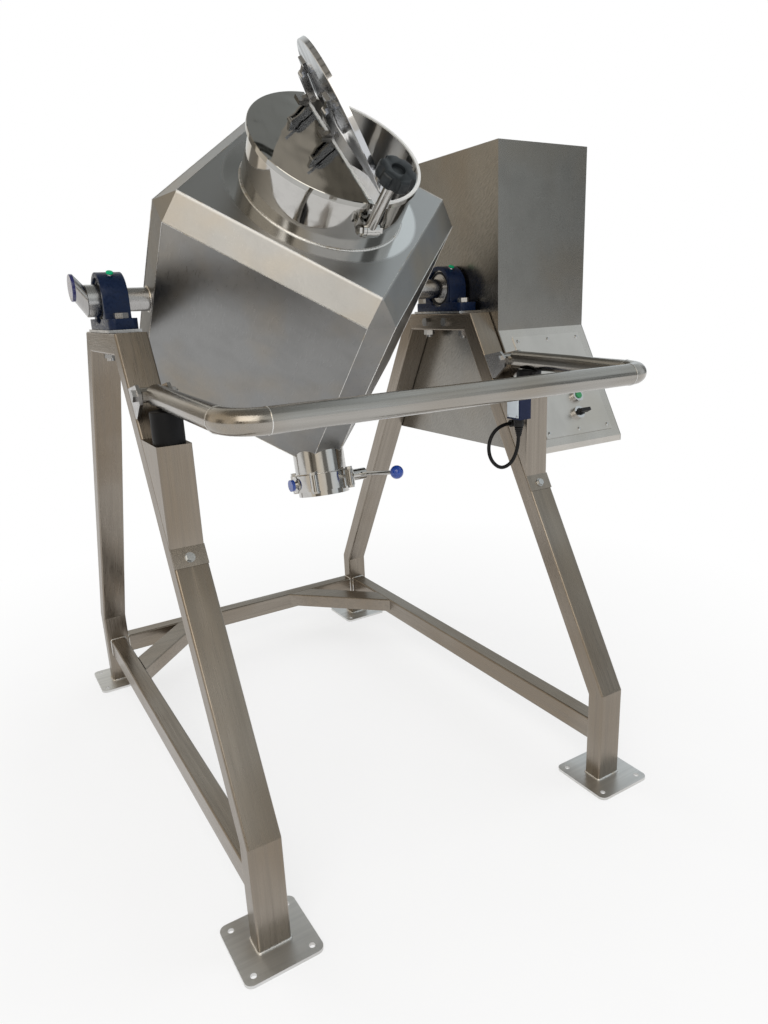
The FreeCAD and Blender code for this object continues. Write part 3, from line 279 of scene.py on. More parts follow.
def block(x0, x1, y0, y1, z0, z1, edge=0.0, segments=2):
    deselect()
    bpy.ops.mesh.primitive_cube_add(size=1, location=((x0 + x1) / 2, (y0 + y1) / 2, (z0 + z1) / 2))
    piece = bpy.context.active_object
    piece.scale = (x1 - x0, y1 - y0, z1 - z0)
    settle(piece)
    if edge:
        soften(piece, edge, segments)
    return piece


def cad_copy(node, name):
    """A merged copy of a CAD node, to be softened and shown in its place."""
    piece = bpy.data.objects.new(name, nodes[node].data.copy())
    bpy.context.scene.collection.objects.link(piece)
    edit(piece)
    bpy.ops.mesh.remove_doubles(threshold=MERGE)
    bpy.ops.mesh.dissolve_limited(angle_limit=math.radians(1.0))
    deselect()
    return piece


def weld_loop(width, depth, radius, place, corner=0.004):
    """A fillet weld round a rectangular tube, in the XY plane."""
    deselect()
    bpy.ops.mesh.primitive_plane_add(size=1)
    piece = bpy.context.active_object
    piece.scale = (width, depth, 1)
    settle(piece)
    edit(piece)
    bpy.ops.mesh.delete(type="ONLY_FACE")
    bpy.ops.mesh.select_all(action="SELECT")
    bpy.ops.mesh.bevel(offset=corner, segments=3, affect="VERTICES")
    bpy.ops.mesh.select_all(action="SELECT")
    bpy.ops.mesh.subdivide(number_cuts=3)
    bpy.ops.object.mode_set(mode="OBJECT")
    bpy.ops.object.convert(target="CURVE")
    piece = bpy.context.active_object
    piece.data.bevel_depth = radius
    piece.data.bevel_resolution = 2
    bpy.ops.object.convert(target="MESH")
    piece = bpy.context.active_object
    settle(piece, place)
    return piece


# Finishes


def new_finish(name, colour, roughness, metallic=0.0):
    finish = bpy.data.materials.new(name)
    finish.use_nodes = True
    shader = finish.node_tree.nodes["Principled BSDF"]
    shader.inputs["Base Color"].default_value = (*colour, 1)
    shader.inputs["Roughness"].default_value = roughness
    shader.inputs["Metallic"].default_value = metallic
    return finish, finish.node_tree, shader


def feed(tree, shader, colour, roughness):
    """Links a shader's colour and roughness."""
    tree.links.new(colour, shader.inputs["Base Color"])
    tree.links.new(roughness, shader.inputs["Roughness"])


def put(tree, socket, value):
    """Sets a socket to a number or a colour, or links another socket to it."""
    if isinstance(value, bpy.types.NodeSocket):
        tree.links.new(value, socket)
    elif isinstance(value, (int, float)):
        socket.default_value = value
    else:
        socket.default_value = (*value[:3], 1)


def coordinates(tree, kind="Object"):
    return tree.nodes.new("ShaderNodeTexCoord").outputs[kind]


def split(tree, vector):
    """A vector's X, Y and Z."""
    parts = tree.nodes.new("ShaderNodeSeparateXYZ")
    tree.links.new(vector, parts.inputs["Vector"])
    return [parts.outputs[axis] for axis in "XYZ"]


def distance(tree, vector):
    """A vector's length."""
    node = tree.nodes.new("ShaderNodeVectorMath")
    node.operation = "LENGTH"
    tree.links.new(vector, node.inputs[0])
    return node.outputs["Value"]


def pattern(tree, scale, turn=(0, 0, 0), detail=3.0):
    """Noise on Object coordinates, with cells per metre along each axis and turned as a whole."""
    mapping = tree.nodes.new("ShaderNodeMapping")
    mapping.vector_type = "TEXTURE"
    mapping.inputs["Scale"].default_value = [1 / value for value in scale]
    mapping.inputs["Rotation"].default_value = turn
    texture = tree.nodes.new("ShaderNodeTexNoise")
    texture.inputs["Scale"].default_value = 1.0
    texture.inputs["Detail"].default_value = detail
    tree.links.new(coordinates(tree), mapping.inputs["Vector"])
    tree.links.new(mapping.outputs["Vector"], texture.inputs["Vector"])
    return texture.outputs["Fac"]


def spread(tree, source, low, high, start=0.3, end=0.7):
    """Maps start..end of a value to low..high, and holds it there beyond."""
    node = tree.nodes.new("ShaderNodeMapRange")
    node.inputs["From Min"].default_value = start
    node.inputs["From Max"].default_value = end
    node.inputs["To Min"].default_value = low
    node.inputs["To Max"].default_value = high
    tree.links.new(source, node.inputs["Value"])
    return node.outputs["Result"]


def calculated(tree, operation, *values):
    """A Math node's result, from sockets or numbers."""
    node = tree.nodes.new("ShaderNodeMath")
    node.operation = operation
    for socket, value in zip(node.inputs, values):
        put(tree, socket, value)
    return node.outputs[0]


def tinted(tree, amount, first, second, blend="MIX"):
    """Mixes two colours, each a socket or a plain colour."""
    mix = tree.nodes.new("ShaderNodeMix")
    mix.data_type = "RGBA"
    mix.blend_type = blend
    for socket, value in ((0, amount), (6, first), (7, second)):
        put(tree, mix.inputs[socket], value)
    return mix.outputs[2]


def blended(tree, amount, first, second):
    """Mixes two values, each a socket or a number."""
    mix = tree.nodes.new("ShaderNodeMix")
    for socket, value in ((0, amount), (2, first), (3, second)):
        put(tree, mix.inputs[socket], value)
    return mix.outputs[0]


def relief(tree, shader, height, strength, distance):
    """A fine bump, too small to be modelled."""
    bump = tree.nodes.new("ShaderNodeBump")
    bump.inputs["Strength"].default_value = strength
    bump.inputs["Distance"].default_value = distance
    tree.links.new(height, bump.inputs["Height"])
    tree.links.new(bump.outputs["Normal"], shader.inputs["Normal"])


def stretched(along, across, length):
    """Cells per metre for lines along one axis."""
    scale = [across, across, across]
    scale["XYZ".index(along)] = length
    return scale


def above(tree, height):
    """1 above a height on the object, and 0 below it."""
    z = split(tree, coordinates(tree))[2]
    return spread(tree, z, 0, 1, height - 0.001, height + 0.001)


def brushed(name, colour, warm, along, roughness=0.3, turn=(0, 0, 0), knee=None):
    """Belt-brushed steel: fine lines along one axis, broad streaks and warm patches."""
    finish, tree, shader = new_finish(name, colour, roughness, 1.0)
    fine, broad = stretched(along, 900, 12), stretched(along, 110, 2.5)
    lines = pattern(tree, fine, turn)
    streaks = pattern(tree, broad, turn, 4.0)
    if knee is not None:
        upright = above(tree, knee)
        lines = blended(tree, upright, pattern(tree, fine), lines)
        streaks = blended(tree, upright, pattern(tree, broad, (0, 0, 0), 4.0), streaks)
    patches = pattern(tree, (3.5, 3.5, 3.5), turn, 2.0)
    base = tinted(tree, spread(tree, patches, 0, 1, 0.42, 0.62), colour, warm)
    dark = [c * 0.72 for c in colour]
    streaked = tinted(tree, spread(tree, streaks, 0, 0.6, 0.4, 0.75), base, dark)
    feed(tree, shader, streaked, spread(tree, lines, roughness - 0.07, roughness + 0.1))
    shader.inputs["Anisotropic"].default_value = 0.5
    relief(tree, shader, lines, 0.1, 0.0002)
    return finish


def satin(name, colour, straw, roughness=0.33):
    """Fine satin sheet with cloudy handling marks and a straw tint in places."""
    finish, tree, shader = new_finish(name, colour, roughness, 1.0)
    grain = pattern(tree, (900, 900, 60), (0.76, 0, 0))
    clouds = pattern(tree, (5, 5, 5), (0, 0, 0), 3.0)
    smears = pattern(tree, (22, 7, 22), (0.75, 0, 0), 3.0)
    base = tinted(tree, spread(tree, clouds, 0, 0.8, 0.48, 0.68), colour, straw)
    dark = [c * 0.8 for c in colour]
    mixed = tinted(tree, spread(tree, smears, 0, 0.45, 0.45, 0.75), base, dark)
    feed(tree, shader, mixed, spread(tree, grain, roughness - 0.06, roughness + 0.08))
    relief(tree, shader, grain, 0.02, 0.0002)
    return finish


def polished(name, colour, roughness=0.07, wave=0.25):
    """Buffed steel: soft waves in the sheet and faint wipe marks."""
    finish, tree, shader = new_finish(name, colour, roughness, 1.0)
    wipes = pattern(tree, (60, 14, 60), (0.6, 0.2, 0), 3.0)
    waves = pattern(tree, (14, 14, 14), (0, 0, 0), 1.0)
    dark = [c * 0.82 for c in colour]
    base = tinted(tree, spread(tree, wipes, 0, 0.5, 0.5, 0.8), colour, dark)
    feed(tree, shader, base, spread(tree, wipes, roughness, roughness + 0.07, 0.4, 0.75))
    relief(tree, shader, waves, wave, 0.003)
    return finish


def turned_steel(name, colour, roughness):
    """Turned or milled steel with tool marks across the shafts."""
    finish, tree, shader = new_finish(name, colour, roughness, 1.0)
    marks = pattern(tree, (1500, 40, 40))
    base = tinted(tree, spread(tree, marks, 0, 0.35), colour, [c * 0.75 for c in colour])
    feed(tree, shader, base, spread(tree, marks, roughness - 0.08, roughness + 0.1))
    relief(tree, shader, marks, 0.08, 0.0002)
    return finish


def weld_metal(name):
    """Rippled weld bead, straw-coloured in places."""
    finish, tree, shader = new_finish(name, (0.6, 0.58, 0.55), 0.3, 1.0)
    ripples = pattern(tree, (420, 420, 420), (0, 0, 0), 1.0)
    tint = pattern(tree, (35, 35, 35), (0, 0, 0), 2.0)
    straw = spread(tree, tint, 0, 1, 0.52, 0.68)
    base = tinted(tree, straw, (0.70, 0.69, 0.67), (0.56, 0.49, 0.39))
    feed(tree, shader, base, spread(tree, ripples, 0.18, 0.42))
    relief(tree, shader, ripples, 0.6, 0.0006)
    return finish


def moulded(name, colour, roughness, grain=900, strength=0.12, wear=1.5, coat=0.0):
    """Moulded plastic or rubber with a fine grain and slightly paler rubbed places."""
    finish, tree, shader = new_finish(name, colour, roughness)
    fine = pattern(tree, (grain, grain, grain), (0, 0, 0), 2.0)
    rubbed = pattern(tree, (55, 55, 55), (0, 0, 0), 3.0)
    shader.inputs["Specular IOR Level"].default_value = 0.2
    pale = [min(1.0, c * wear + 0.003) for c in colour]
    base = tinted(tree, spread(tree, rubbed, 0, 0.7, 0.5, 0.75), colour, pale)
    feed(tree, shader, base, spread(tree, fine, roughness - 0.06, roughness + 0.08))
    shader.inputs["Coat Weight"].default_value = coat
    relief(tree, shader, fine, strength, 0.0003)
    return finish


def cast_paint(name, colour):
    """Thick glossy paint over cast iron, rubbed through to a paler tone on high spots."""
    finish, tree, shader = new_finish(name, colour, 0.32)
    skin = pattern(tree, (160, 160, 160), (0, 0, 0), 4.0)
    chips = pattern(tree, (90, 90, 90), (0, 0, 0), 6.0)
    base = tinted(tree, spread(tree, skin, 0, 0.6), colour, [c * 1.6 for c in colour])
    worn = tinted(tree, spread(tree, chips, 0, 1, 0.74, 0.78), base, (0.06, 0.07, 0.10))
    feed(tree, shader, worn, spread(tree, skin, 0.22, 0.42))
    shader.inputs["Specular IOR Level"].default_value = 0.22
    relief(tree, shader, skin, 0.3, 0.0012)
    return finish


def glossy_ball(name, colour):
    """Glossy moulded plastic with a lacquered look."""
    finish, tree, shader = new_finish(name, colour, 0.16)
    clouds = pattern(tree, (70, 70, 70), (0, 0, 0), 2.0)
    base = tinted(tree, spread(tree, clouds, 0, 0.5), colour, [min(1, c * 1.35) for c in colour])
    feed(tree, shader, base, spread(tree, clouds, 0.1, 0.24))
    shader.inputs["Coat Weight"].default_value = 0.6
    return finish


def dress(finish, *names):
    """Gives CAD nodes a finish."""
    for name in names:
        data = nodes[name].data
        if not data.materials:
            data.materials.append(finish)
        for index in range(len(data.materials)):
            data.materials[index] = finish


class MIXER_OT_stage(Operator):
    """Adds the floor, the world, the lights and the camera"""
    bl_idname = "mixer.stage"
    bl_label = "Stage"

    def execute(self, context):
        sizes = context.scene.mixer_stage
        context.scene.view_settings.view_transform = "Standard"
        self.world(context, sizes)
        self.floor(sizes)
        self.lights(sizes)
        self.camera(context, sizes)
        return {"FINISHED"}

    def world(self, context, sizes):
        """A pale hall for reflections, an even grey for matt surfaces and white for the camera."""
        world = bpy.data.worlds.new("studio")
        context.scene.world = world
        world.use_nodes = True
        tree = world.node_tree
        tree.nodes.clear()
        x, y, z = split(tree, coordinates(tree, "Generated"))
        ramp = tree.nodes.new("ShaderNodeValToRGB")
        tree.links.new(spread(tree, z, 0, 1, -1, 1), ramp.inputs["Fac"])
        stops = ramp.color_ramp.elements
        for index, (spot, tone) in enumerate(HALL_TONES):
            stop = stops[index] if index < 2 else stops.new(spot)
            stop.position = spot
            stop.color = (*tone, 1)
        rows = calculated(tree, "SINE", calculated(tree, "MULTIPLY", y, CEILING_BEAMS))
        overhead = spread(tree, z, 0, 1, 0.66, 0.74)
        beams = calculated(tree, "MULTIPLY", spread(tree, rows, 0, 1, 0.86, 0.97), overhead)
        ceiling = tinted(tree, beams, ramp.outputs["Color"], (0.04, 0.04, 0.035))
        beside = spread(tree, x, 0, 1, 0.42, 0.54)
        skylight = calculated(tree, "MULTIPLY", beside, spread(tree, z, 0, 1, 0.70, 0.80))
        lit = tinted(tree, skylight, ceiling, (0.98, 1.0, 1.0))
        sideways = spread(tree, x, 0, 1, -0.6, 0.5)
        warmth = tinted(tree, sideways, (1.0, 0.90, 0.76), (0.90, 0.96, 1.0))
        hall = tinted(tree, 1.0, self.walls(tree, x, y, z, lit), warmth, "MULTIPLY")
        path = tree.nodes.new("ShaderNodeLightPath")
        even = tinted(tree, path.outputs["Is Diffuse Ray"], hall, (0.62, 0.62, 0.62))
        seen = tinted(tree, path.outputs["Is Camera Ray"], even, (sizes.background,) * 3)
        background = tree.nodes.new("ShaderNodeBackground")
        out = tree.nodes.new("ShaderNodeOutputWorld")
        tree.links.new(seen, background.inputs["Color"])
        tree.links.new(background.outputs["Background"], out.inputs["Surface"])

    def walls(self, tree, x, y, z, tone):
        """Dark upright bands around the horizon, as between the windows of a hall."""
        around = calculated(tree, "ARCTAN2", y, x)
        wave = calculated(tree, "SINE", calculated(tree, "MULTIPLY", around, WALL_BANDS))
        dark = spread(tree, wave, 0, 0.85, 0.1, 0.45)
        low = spread(tree, z, 0, 1, -0.5, -0.35)
        high = spread(tree, z, 1, 0, 0.25, 0.4)
        amount = calculated(tree, "MULTIPLY", dark, calculated(tree, "MULTIPLY", low, high))
        return tinted(tree, amount, tone, (0.10, 0.095, 0.085))

    def floor(self, sizes):
        """Pale floor that fades into the white background and keeps the shadow."""
        deselect()
        bpy.ops.mesh.primitive_plane_add(size=sizes.floor)
        floor = bpy.context.active_object
        floor.name = "floor"
        finish, tree, shader = new_finish("pale_floor", (0.9, 0.9, 0.9), 0.9)
        speckle = spread(tree, pattern(tree, (6, 6, 6)), 0, 1)
        pale = tinted(tree, speckle, (0.9, 0.9, 0.9), (0.92, 0.92, 0.92))
        tree.links.new(pale, shader.inputs["Base Color"])
        far = spread(tree, distance(tree, coordinates(tree)), 0.7, 1.0, 0.7, 1.8)
        path = tree.nodes.new("ShaderNodeLightPath")
        bounced = calculated(
            tree, "MAXIMUM", path.outputs["Is Glossy Ray"], path.outputs["Is Transmission Ray"],
        )
        seen = calculated(tree, "MAXIMUM", path.outputs["Is Camera Ray"], bounced)
        share = calculated(tree, "MULTIPLY", far, seen)
        glow = tree.nodes.new("ShaderNodeEmission")
        glow.inputs["Color"].default_value = (*(sizes.background,) * 3, 1)
        mix = tree.nodes.new("ShaderNodeMixShader")
        tree.links.new(share, mix.inputs[0])
        tree.links.new(shader.outputs[0], mix.inputs[1])
        tree.links.new(glow.outputs[0], mix.inputs[2])
        tree.links.new(mix.outputs[0], tree.nodes["Material Output"].inputs["Surface"])
        floor.data.materials.append(finish)

    def lights(self, sizes):
        """Three large lamps outside and a small one for the light inside the open vessel."""
        aim = Vector((0, 0, 0.8))
        plan = (
            ("key", (-2.2, -3.2, 3.4), sizes.key, 3.3, (1.0, 0.965, 0.91)),
            ("fill", (3.6, -1.6, 2.0), sizes.fill, 2.2, (0.94, 0.97, 1.0)),
            ("rear", (-1.5, 3.6, 2.8), sizes.rear, 2.6, (1.0, 1.0, 1.0)),
        )
        for name, spot, power, size, colour in plan:
            deselect()
            bpy.ops.object.light_add(type="AREA", location=spot)
            lamp = bpy.context.active_object
            lamp.name = name
            lamp.data.energy = power
            lamp.data.size = size
            lamp.data.color = colour
            lamp.rotation_euler = (aim - Vector(spot)).to_track_quat("-Z", "Y").to_euler()
            lamp.visible_glossy = name == "key"
        deselect()
        bpy.ops.object.light_add(type="POINT", location=sizes.bounce_place)
        inner = bpy.context.active_object
        inner.name = "bounce"
        inner.data.energy = sizes.bounce
        inner.data.shadow_soft_size = sizes.bounce_size

    def camera(self, context, sizes):
        """The photograph's viewpoint, with its three axes as they were matched."""
        deselect()
        bpy.ops.object.camera_add()
        camera = bpy.context.active_object
        right = Vector((0.8515, -0.5224, -0.0423)).normalized()
        ahead = Vector((0.4922, 0.8248, -0.2783)).normalized()
        up = right.cross(ahead).normalized()
        right = ahead.cross(up)
        turn = Matrix((right, up, -ahead)).transposed().to_4x4()
        camera.matrix_world = moved(-0.715, -1.525, 1.040) @ turn
        camera.data.sensor_fit = "VERTICAL"
        camera.data.sensor_height = 36.0
        camera.data.lens = sizes.lens
        camera.data.clip_start = 0.02
        context.scene.camera = camera


class MIXER_OT_switch_cable(Operator):
    """Lays the safety switch's cable and its ribbed strain relief"""
    bl_idname = "mixer.switch_cable"
    bl_label = "Switch cable"

    def execute(self, context):
        sizes = context.scene.mixer_cable
        route = [
            (0.3535, -0.326, 0.765), (0.3535, -0.326, 0.737), (0.3495, -0.324, 0.707),
            (0.3365, -0.319, 0.681), (0.3135, -0.311, 0.673), (0.2955, -0.300, 0.693),
            (0.2965, -0.290, 0.723), (0.3135, -0.286, 0.751), (0.343, -0.285, 0.765),
            (0.365, -0.285, 0.765),
        ]
        data = bpy.data.curves.new("switch_lead", "CURVE")
        data.dimensions = "3D"
        spline = data.splines.new("NURBS")
        spline.points.add(len(route) - 1)
        for point, spot in zip(spline.points, route):
            point.co = (*spot, 1)
        spline.order_u = 3
        spline.use_endpoint_u = True
        data.resolution_u = 24
        data.bevel_depth = sizes.radius
        data.bevel_resolution = 6
        data.use_fill_caps = True
        cable = bpy.data.objects.new("switch_lead", data)
        context.scene.collection.objects.link(cable)
        data.materials.append(moulded("cable_jacket", (0.006, 0.006, 0.0065), 0.42, 700, 0.15, 1.6))
        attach(cable, "frame")
        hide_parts("switch_cable")
        relief_piece = self.strain_relief(sizes)
        return {"FINISHED"}

    def strain_relief(self, sizes):
        """Tapering ribs under the gland, with a thinner core between them."""
        top_radius, taper = 0.0095, 0.0009
        top_height, pitch, rib = 0.763, 0.0042, 0.0027
        core_inset, core_length = 0.0022, 0.0046
        place = moved(0.3535, -0.326, 0)
        parts = []
        for step in range(sizes.ribs):
            radius = top_radius - taper * step
            top = top_height - pitch * step
            parts.append(disc(radius, top - rib, top, place, 32, 0.0006))
            parts.append(disc(radius - core_inset, top - core_length, top, place, 24, 0.0003))
        rubber = moulded("relief_rubber", (0.012, 0.012, 0.013), 0.5)
        return piece_done(joined(parts), "gland_relief", "frame", rubber)


class MIXER_OT_frame(Operator):
    """Brushes the frame's tubes and lays their welds"""
    bl_idname = "mixer.frame"
    bl_label = "Frame"

    def execute(self, context):
        sizes = context.scene.mixer_frame
        colour = tuple(sizes.steel)
        warm = tuple(sizes.steel_warm)
        leg_run, leg_rise = 0.424, 0.794
        slant = math.atan2(leg_run, leg_rise)
        rear = brushed("leg_steel_rear", colour, warm, "Z", 0.3, (slant, 0, 0), sizes.knee)
        front = brushed("leg_steel_front", colour, warm, "Z", 0.3, (-slant, 0, 0), sizes.knee)
        dress(rear, "left_rear_leg", "right_rear_leg")
        dress(front, "left_front_leg", "right_front_leg")
        dress(brushed("post_steel", colour, warm, "Z", 0.27), "left_post", "right_post")
        beams = brushed("beam_steel", colour, warm, "Y", 0.28)
        dress(beams, "left_top_beam", "right_top_beam", "side_rails")
        dress(brushed("rail_steel", colour, warm, "X", 0.28), "rear_cross_rail", "corner_braces")
        plates = brushed("plate_steel", (0.74, 0.74, 0.73), (0.62, 0.61, 0.59), "X", 0.38)
        dress(plates, "foot_plates")
        bead = weld_metal("frame_weld")
        self.foot_welds(sizes, bead)
        self.rail_welds(sizes, bead)
        return {"FINISHED"}

    def foot_welds(self, sizes, bead):
        """Fillets where the legs stand on their foot plates."""
        loops = []
        for x in (-sizes.gauge / 2, sizes.gauge / 2):
            for y in (-sizes.foot_depth / 2, sizes.foot_depth / 2):
                place = moved(x, y, sizes.plate_top + sizes.weld * 0.3)
                loops.append(weld_loop(sizes.tube_wide, sizes.tube_deep, sizes.weld, place))
        piece_done(joined(loops), "foot_welds", "frame", bead, 60)

    def rail_welds(self, sizes, bead):
        """Fillets where the low rails meet the legs."""
        loops = []
        inner = sizes.foot_depth / 2 - sizes.tube_deep / 2
        middle = sizes.rail_top - sizes.rail_high / 2
        thin = sizes.weld * 0.8
        for x in (-sizes.gauge / 2, sizes.gauge / 2):
            for y in (-inner, inner):
                place = moved(x, y, middle) @ quarter("X")
                loops.append(weld_loop(sizes.tube_deep, sizes.rail_high, thin, place))
        side = sizes.gauge / 2 - sizes.tube_wide / 2
        for x in (-side, side):
            place = moved(x, sizes.foot_depth / 2, middle) @ quarter("Y")
            loops.append(weld_loop(sizes.rail_high, sizes.tube_deep * 0.94, thin, place))
        piece_done(joined(loops), "rail_welds", "frame", bead, 60)


class MIXER_OT_vessel(Operator):
    """Gives the vessel its satin sheet, polished neck zone, ground seams and welds"""
    bl_idname = "mixer.vessel"
    bl_label = "Vessel"

    def execute(self, context):
        sizes = context.scene.mixer_vessel
        dress(self.sheet(sizes), "vessel_shell")
        mirror = tuple(sizes.mirror)
        dress(polished("neck_polish", mirror, 0.06, 0.35), "manway_neck")
        dress(polished("spout_polish", mirror, 0.12, 0.2), "outlet_spout")
        shaft = turned_steel("shaft_steel", (0.42, 0.41, 0.4), 0.25)
        dress(shaft, "left_trunnion", "right_trunnion", "shaft_end_cap")
        self.seams(sizes)
        self.welds(sizes)
        return {"FINISHED"}

    def sheet(self, sizes):
        """Satin sheet with a paler top face and a ring of mirror polish around the neck."""
        finish = satin("vessel_satin", tuple(sizes.satin), tuple(sizes.straw))
        tree = finish.node_tree
        shader = tree.nodes["Principled BSDF"]
        rough = shader.inputs["Roughness"].links[0].from_socket
        base = shader.inputs["Base Color"].links[0].from_socket
        mapping = tree.nodes.new("ShaderNodeMapping")
        mapping.vector_type = "TEXTURE"
        mapping.inputs["Location"].default_value = (sizes.shift, 0, sizes.height)
        mapping.inputs["Rotation"].default_value = (sizes.tilt, 0, 0)
        tree.links.new(coordinates(tree), mapping.inputs["Vector"])
        x, y, z = split(tree, mapping.outputs["Vector"])
        flat = tree.nodes.new("ShaderNodeCombineXYZ")
        tree.links.new(x, flat.inputs["X"])
        tree.links.new(y, flat.inputs["Y"])
        zone, face = sizes.polish, sizes.cube_half
        radius = distance(tree, flat.outputs["Vector"])
        near = spread(tree, radius, 1, 0, zone - 0.003, zone + 0.003)
        top = spread(tree, z, 0, 1, face - 0.004, face - 0.002)
        polish = calculated(tree, "MULTIPLY", near, top)
        top_tone, polish_tone, polish_rough = (0.40, 0.40, 0.395), (0.52, 0.52, 0.51), 0.12
        paler = tinted(tree, top, base, top_tone)
        smooth = blended(tree, polish, rough, polish_rough)
        feed(tree, shader, tinted(tree, polish, paler, polish_tone), smooth)
        return finish

    def seams(self, sizes):
        """The bent and welded edges of the cube, as thin ground beads."""
        piece = cad_copy("vessel_shell", "vessel_seams")
        mesh = bmesh.new()
        mesh.from_mesh(piece.data)
        back = vessel_place().inverted()
        turn = Matrix.Rotation(math.pi / 4, 4, "Z")
        limit = sizes.cube_half - 0.0012
        shortest, flattest, sharpest = 0.03, 20, 70
        keep = []
        for edge in mesh.edges:
            if len(edge.link_faces) != 2 or edge.calc_length() < shortest:
                continue
            angle = math.degrees(edge.calc_face_angle(0))
            middle = turn @ (back @ ((edge.verts[0].co + edge.verts[1].co) / 2))
            outside = max(abs(c) for c in middle) > limit
            if flattest < angle < sharpest and outside:
                keep.append(edge)
        kept = set(keep)
        bmesh.ops.delete(mesh, geom=[e for e in mesh.edges if e not in kept], context="EDGES")
        mesh.to_mesh(piece.data)
        mesh.free()
        activate(piece)
        bpy.ops.object.convert(target="CURVE")
        piece = bpy.context.active_object
        piece.data.bevel_depth = sizes.seam
        piece.data.bevel_resolution = 1
        piece.data.use_fill_caps = True
        bpy.ops.object.convert(target="MESH")
        piece = bpy.context.active_object
        edit(piece)
        bpy.ops.mesh.remove_doubles(threshold=MERGE)
        bpy.ops.mesh.normals_make_consistent(inside=False)
        bpy.ops.object.mode_set(mode="OBJECT")
        piece_done(piece, "vessel_seams", "vessel", weld_metal("seam_weld"), 60)

    def welds(self, sizes):
        """Rings round the neck, the spout's end and both shafts."""
        shaft_radius, cap_width, bead_size = 0.0235, 0.043, 0.0022
        bead = weld_metal("vessel_weld")
        rings = [ring(sizes.neck + 0.001, bead_size, sizes.cube_half, vessel_place())]
        rings.append(ring(sizes.spout + 0.0006, bead_size / 2, sizes.ferrule, outlet_place(), 72))
        reach = (2 * sizes.cube_half - cap_width) / math.sqrt(2)
        for side in (-1, 1):
            place = moved(sizes.shift, 0, sizes.height) @ quarter("Y", side)
            rings.append(ring(shaft_radius, bead_size, reach, place, 48))
        piece_done(joined(rings), "vessel_welds", "vessel", bead, 60)


class MIXER_OT_manway(Operator):
    """Finishes the split lid, its hinges, its seal and the swing bolt"""
    bl_idname = "mixer.manway"
    bl_label = "Manway"

    def execute(self, context):
        sizes = context.scene.mixer_vessel
        mirror = tuple(sizes.mirror)
        dress(polished("lid_polish", (0.40, 0.395, 0.375), 0.03, 0.6), "fixed_lid_half")
        dress(polished("flap_polish", (0.55, 0.56, 0.58), 0.09, 0.3), "hinged_lid_half")
        dress(turned_steel("hinge_steel", (0.34, 0.33, 0.32), 0.3), "fixed_hinge_straps")
        dress(polished("bolt_polish", mirror, 0.13, 0.15), "swing_bolt", "clamp_bracket")
        silicone = moulded("gasket_silicone", (0.74, 0.74, 0.72), 0.45, 500, 0.1, 1.0)
        dress(silicone, "lid_gasket", "valve_seal")
        self.cut_seal(sizes, silicone)
        return {"FINISHED"}

    def cut_seal(self, sizes, silicone):
        """The hand-laid strip of clear silicone along the cut edge of the fixed half."""
        reach = sizes.rim - 0.008
        low, high, crest = -0.0075, -0.0018, -0.0046
        cuts = 60
        strip = block(low, high, -reach, reach, sizes.lid - 0.0003, sizes.lid + 0.0010)
        edit(strip)
        bpy.ops.mesh.bisect(plane_co=(crest, 0, 0), plane_no=(1, 0, 0))
        for step in range(1, cuts):
            bpy.ops.mesh.select_all(action="SELECT")
            spot = -reach + 2 * reach * step / cuts
            bpy.ops.mesh.bisect(plane_co=(0, spot, 0), plane_no=(0, 1, 0))
        bpy.ops.mesh.select_all(action="SELECT")
        bpy.ops.transform.vertex_random(offset=0.0007, uniform=1.0, seed=3)
        bpy.ops.mesh.normals_make_consistent(inside=False)
        deselect()
        settle(strip, vessel_place())
        piece_done(strip, "cut_edge_seal", "vessel", silicone, 50)


class MIXER_OT_star_knob(Operator):
    """Softens the moulded star knob and sinks a recess in its face"""
    bl_idname = "mixer.star_knob"
    bl_label = "Star knob"

    def execute(self, context):
        knob = cad_copy("star_knob", "knob_star")
        self.recess(knob)
        soften(knob, 0.0012, 2, 40)
        phenolic = moulded("knob_phenolic", (0.014, 0.017, 0.019), 0.34, 600, 0.1, 1.6, 0.15)
        piece_done(knob, "knob_star", "knob", phenolic)
        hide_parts("star_knob")
        return {"FINISHED"}

    def recess(self, knob):
        """Sinks a round recess in the outer face."""
        outer = max(knob.data.polygons, key=lambda face: face.area * (face.normal.z > 0))
        turn = outer.normal.to_track_quat("Z", "Y").to_matrix().to_4x4()
        radius, depth, clear = 0.0125, 0.006, 0.004
        cutter = disc(radius, -depth, clear, moved(*outer.center) @ turn, 40)
        activate(knob)
        cut = knob.modifiers.new("recess", "BOOLEAN")
        cut.object = cutter
        cut.solver = "EXACT"
        bpy.ops.object.modifier_apply(modifier="recess")
        deselect()
        bpy.data.objects.remove(cutter)


class MIXER_OT_outlet(Operator):
    """Finishes the butterfly valve, its lever and its grips"""
    bl_idname = "mixer.outlet"
    bl_label = "Outlet valve"

    def execute(self, context):
        sizes = context.scene.mixer_vessel
        controls = context.scene.mixer_controls
        mirror = tuple(sizes.mirror)
        valve = polished("valve_polish", mirror, 0.08, 0.15)
        dress(valve, "valve_body_upper", "valve_body_lower", "valve_lever")
        dress(polished("disc_polish", mirror, 0.12, 0.1), "valve_disc")
        dress(turned_steel("valve_bolt_steel", (0.5, 0.5, 0.49), 0.24), "valve_bolts")
        dress(glossy_ball("lever_ball_blue", tuple(controls.ball)), "lever_ball", "stem_plug")
        dress(glossy_ball("port_cap_blue", tuple(controls.port)), "port_cap")
        return {"FINISHED"}


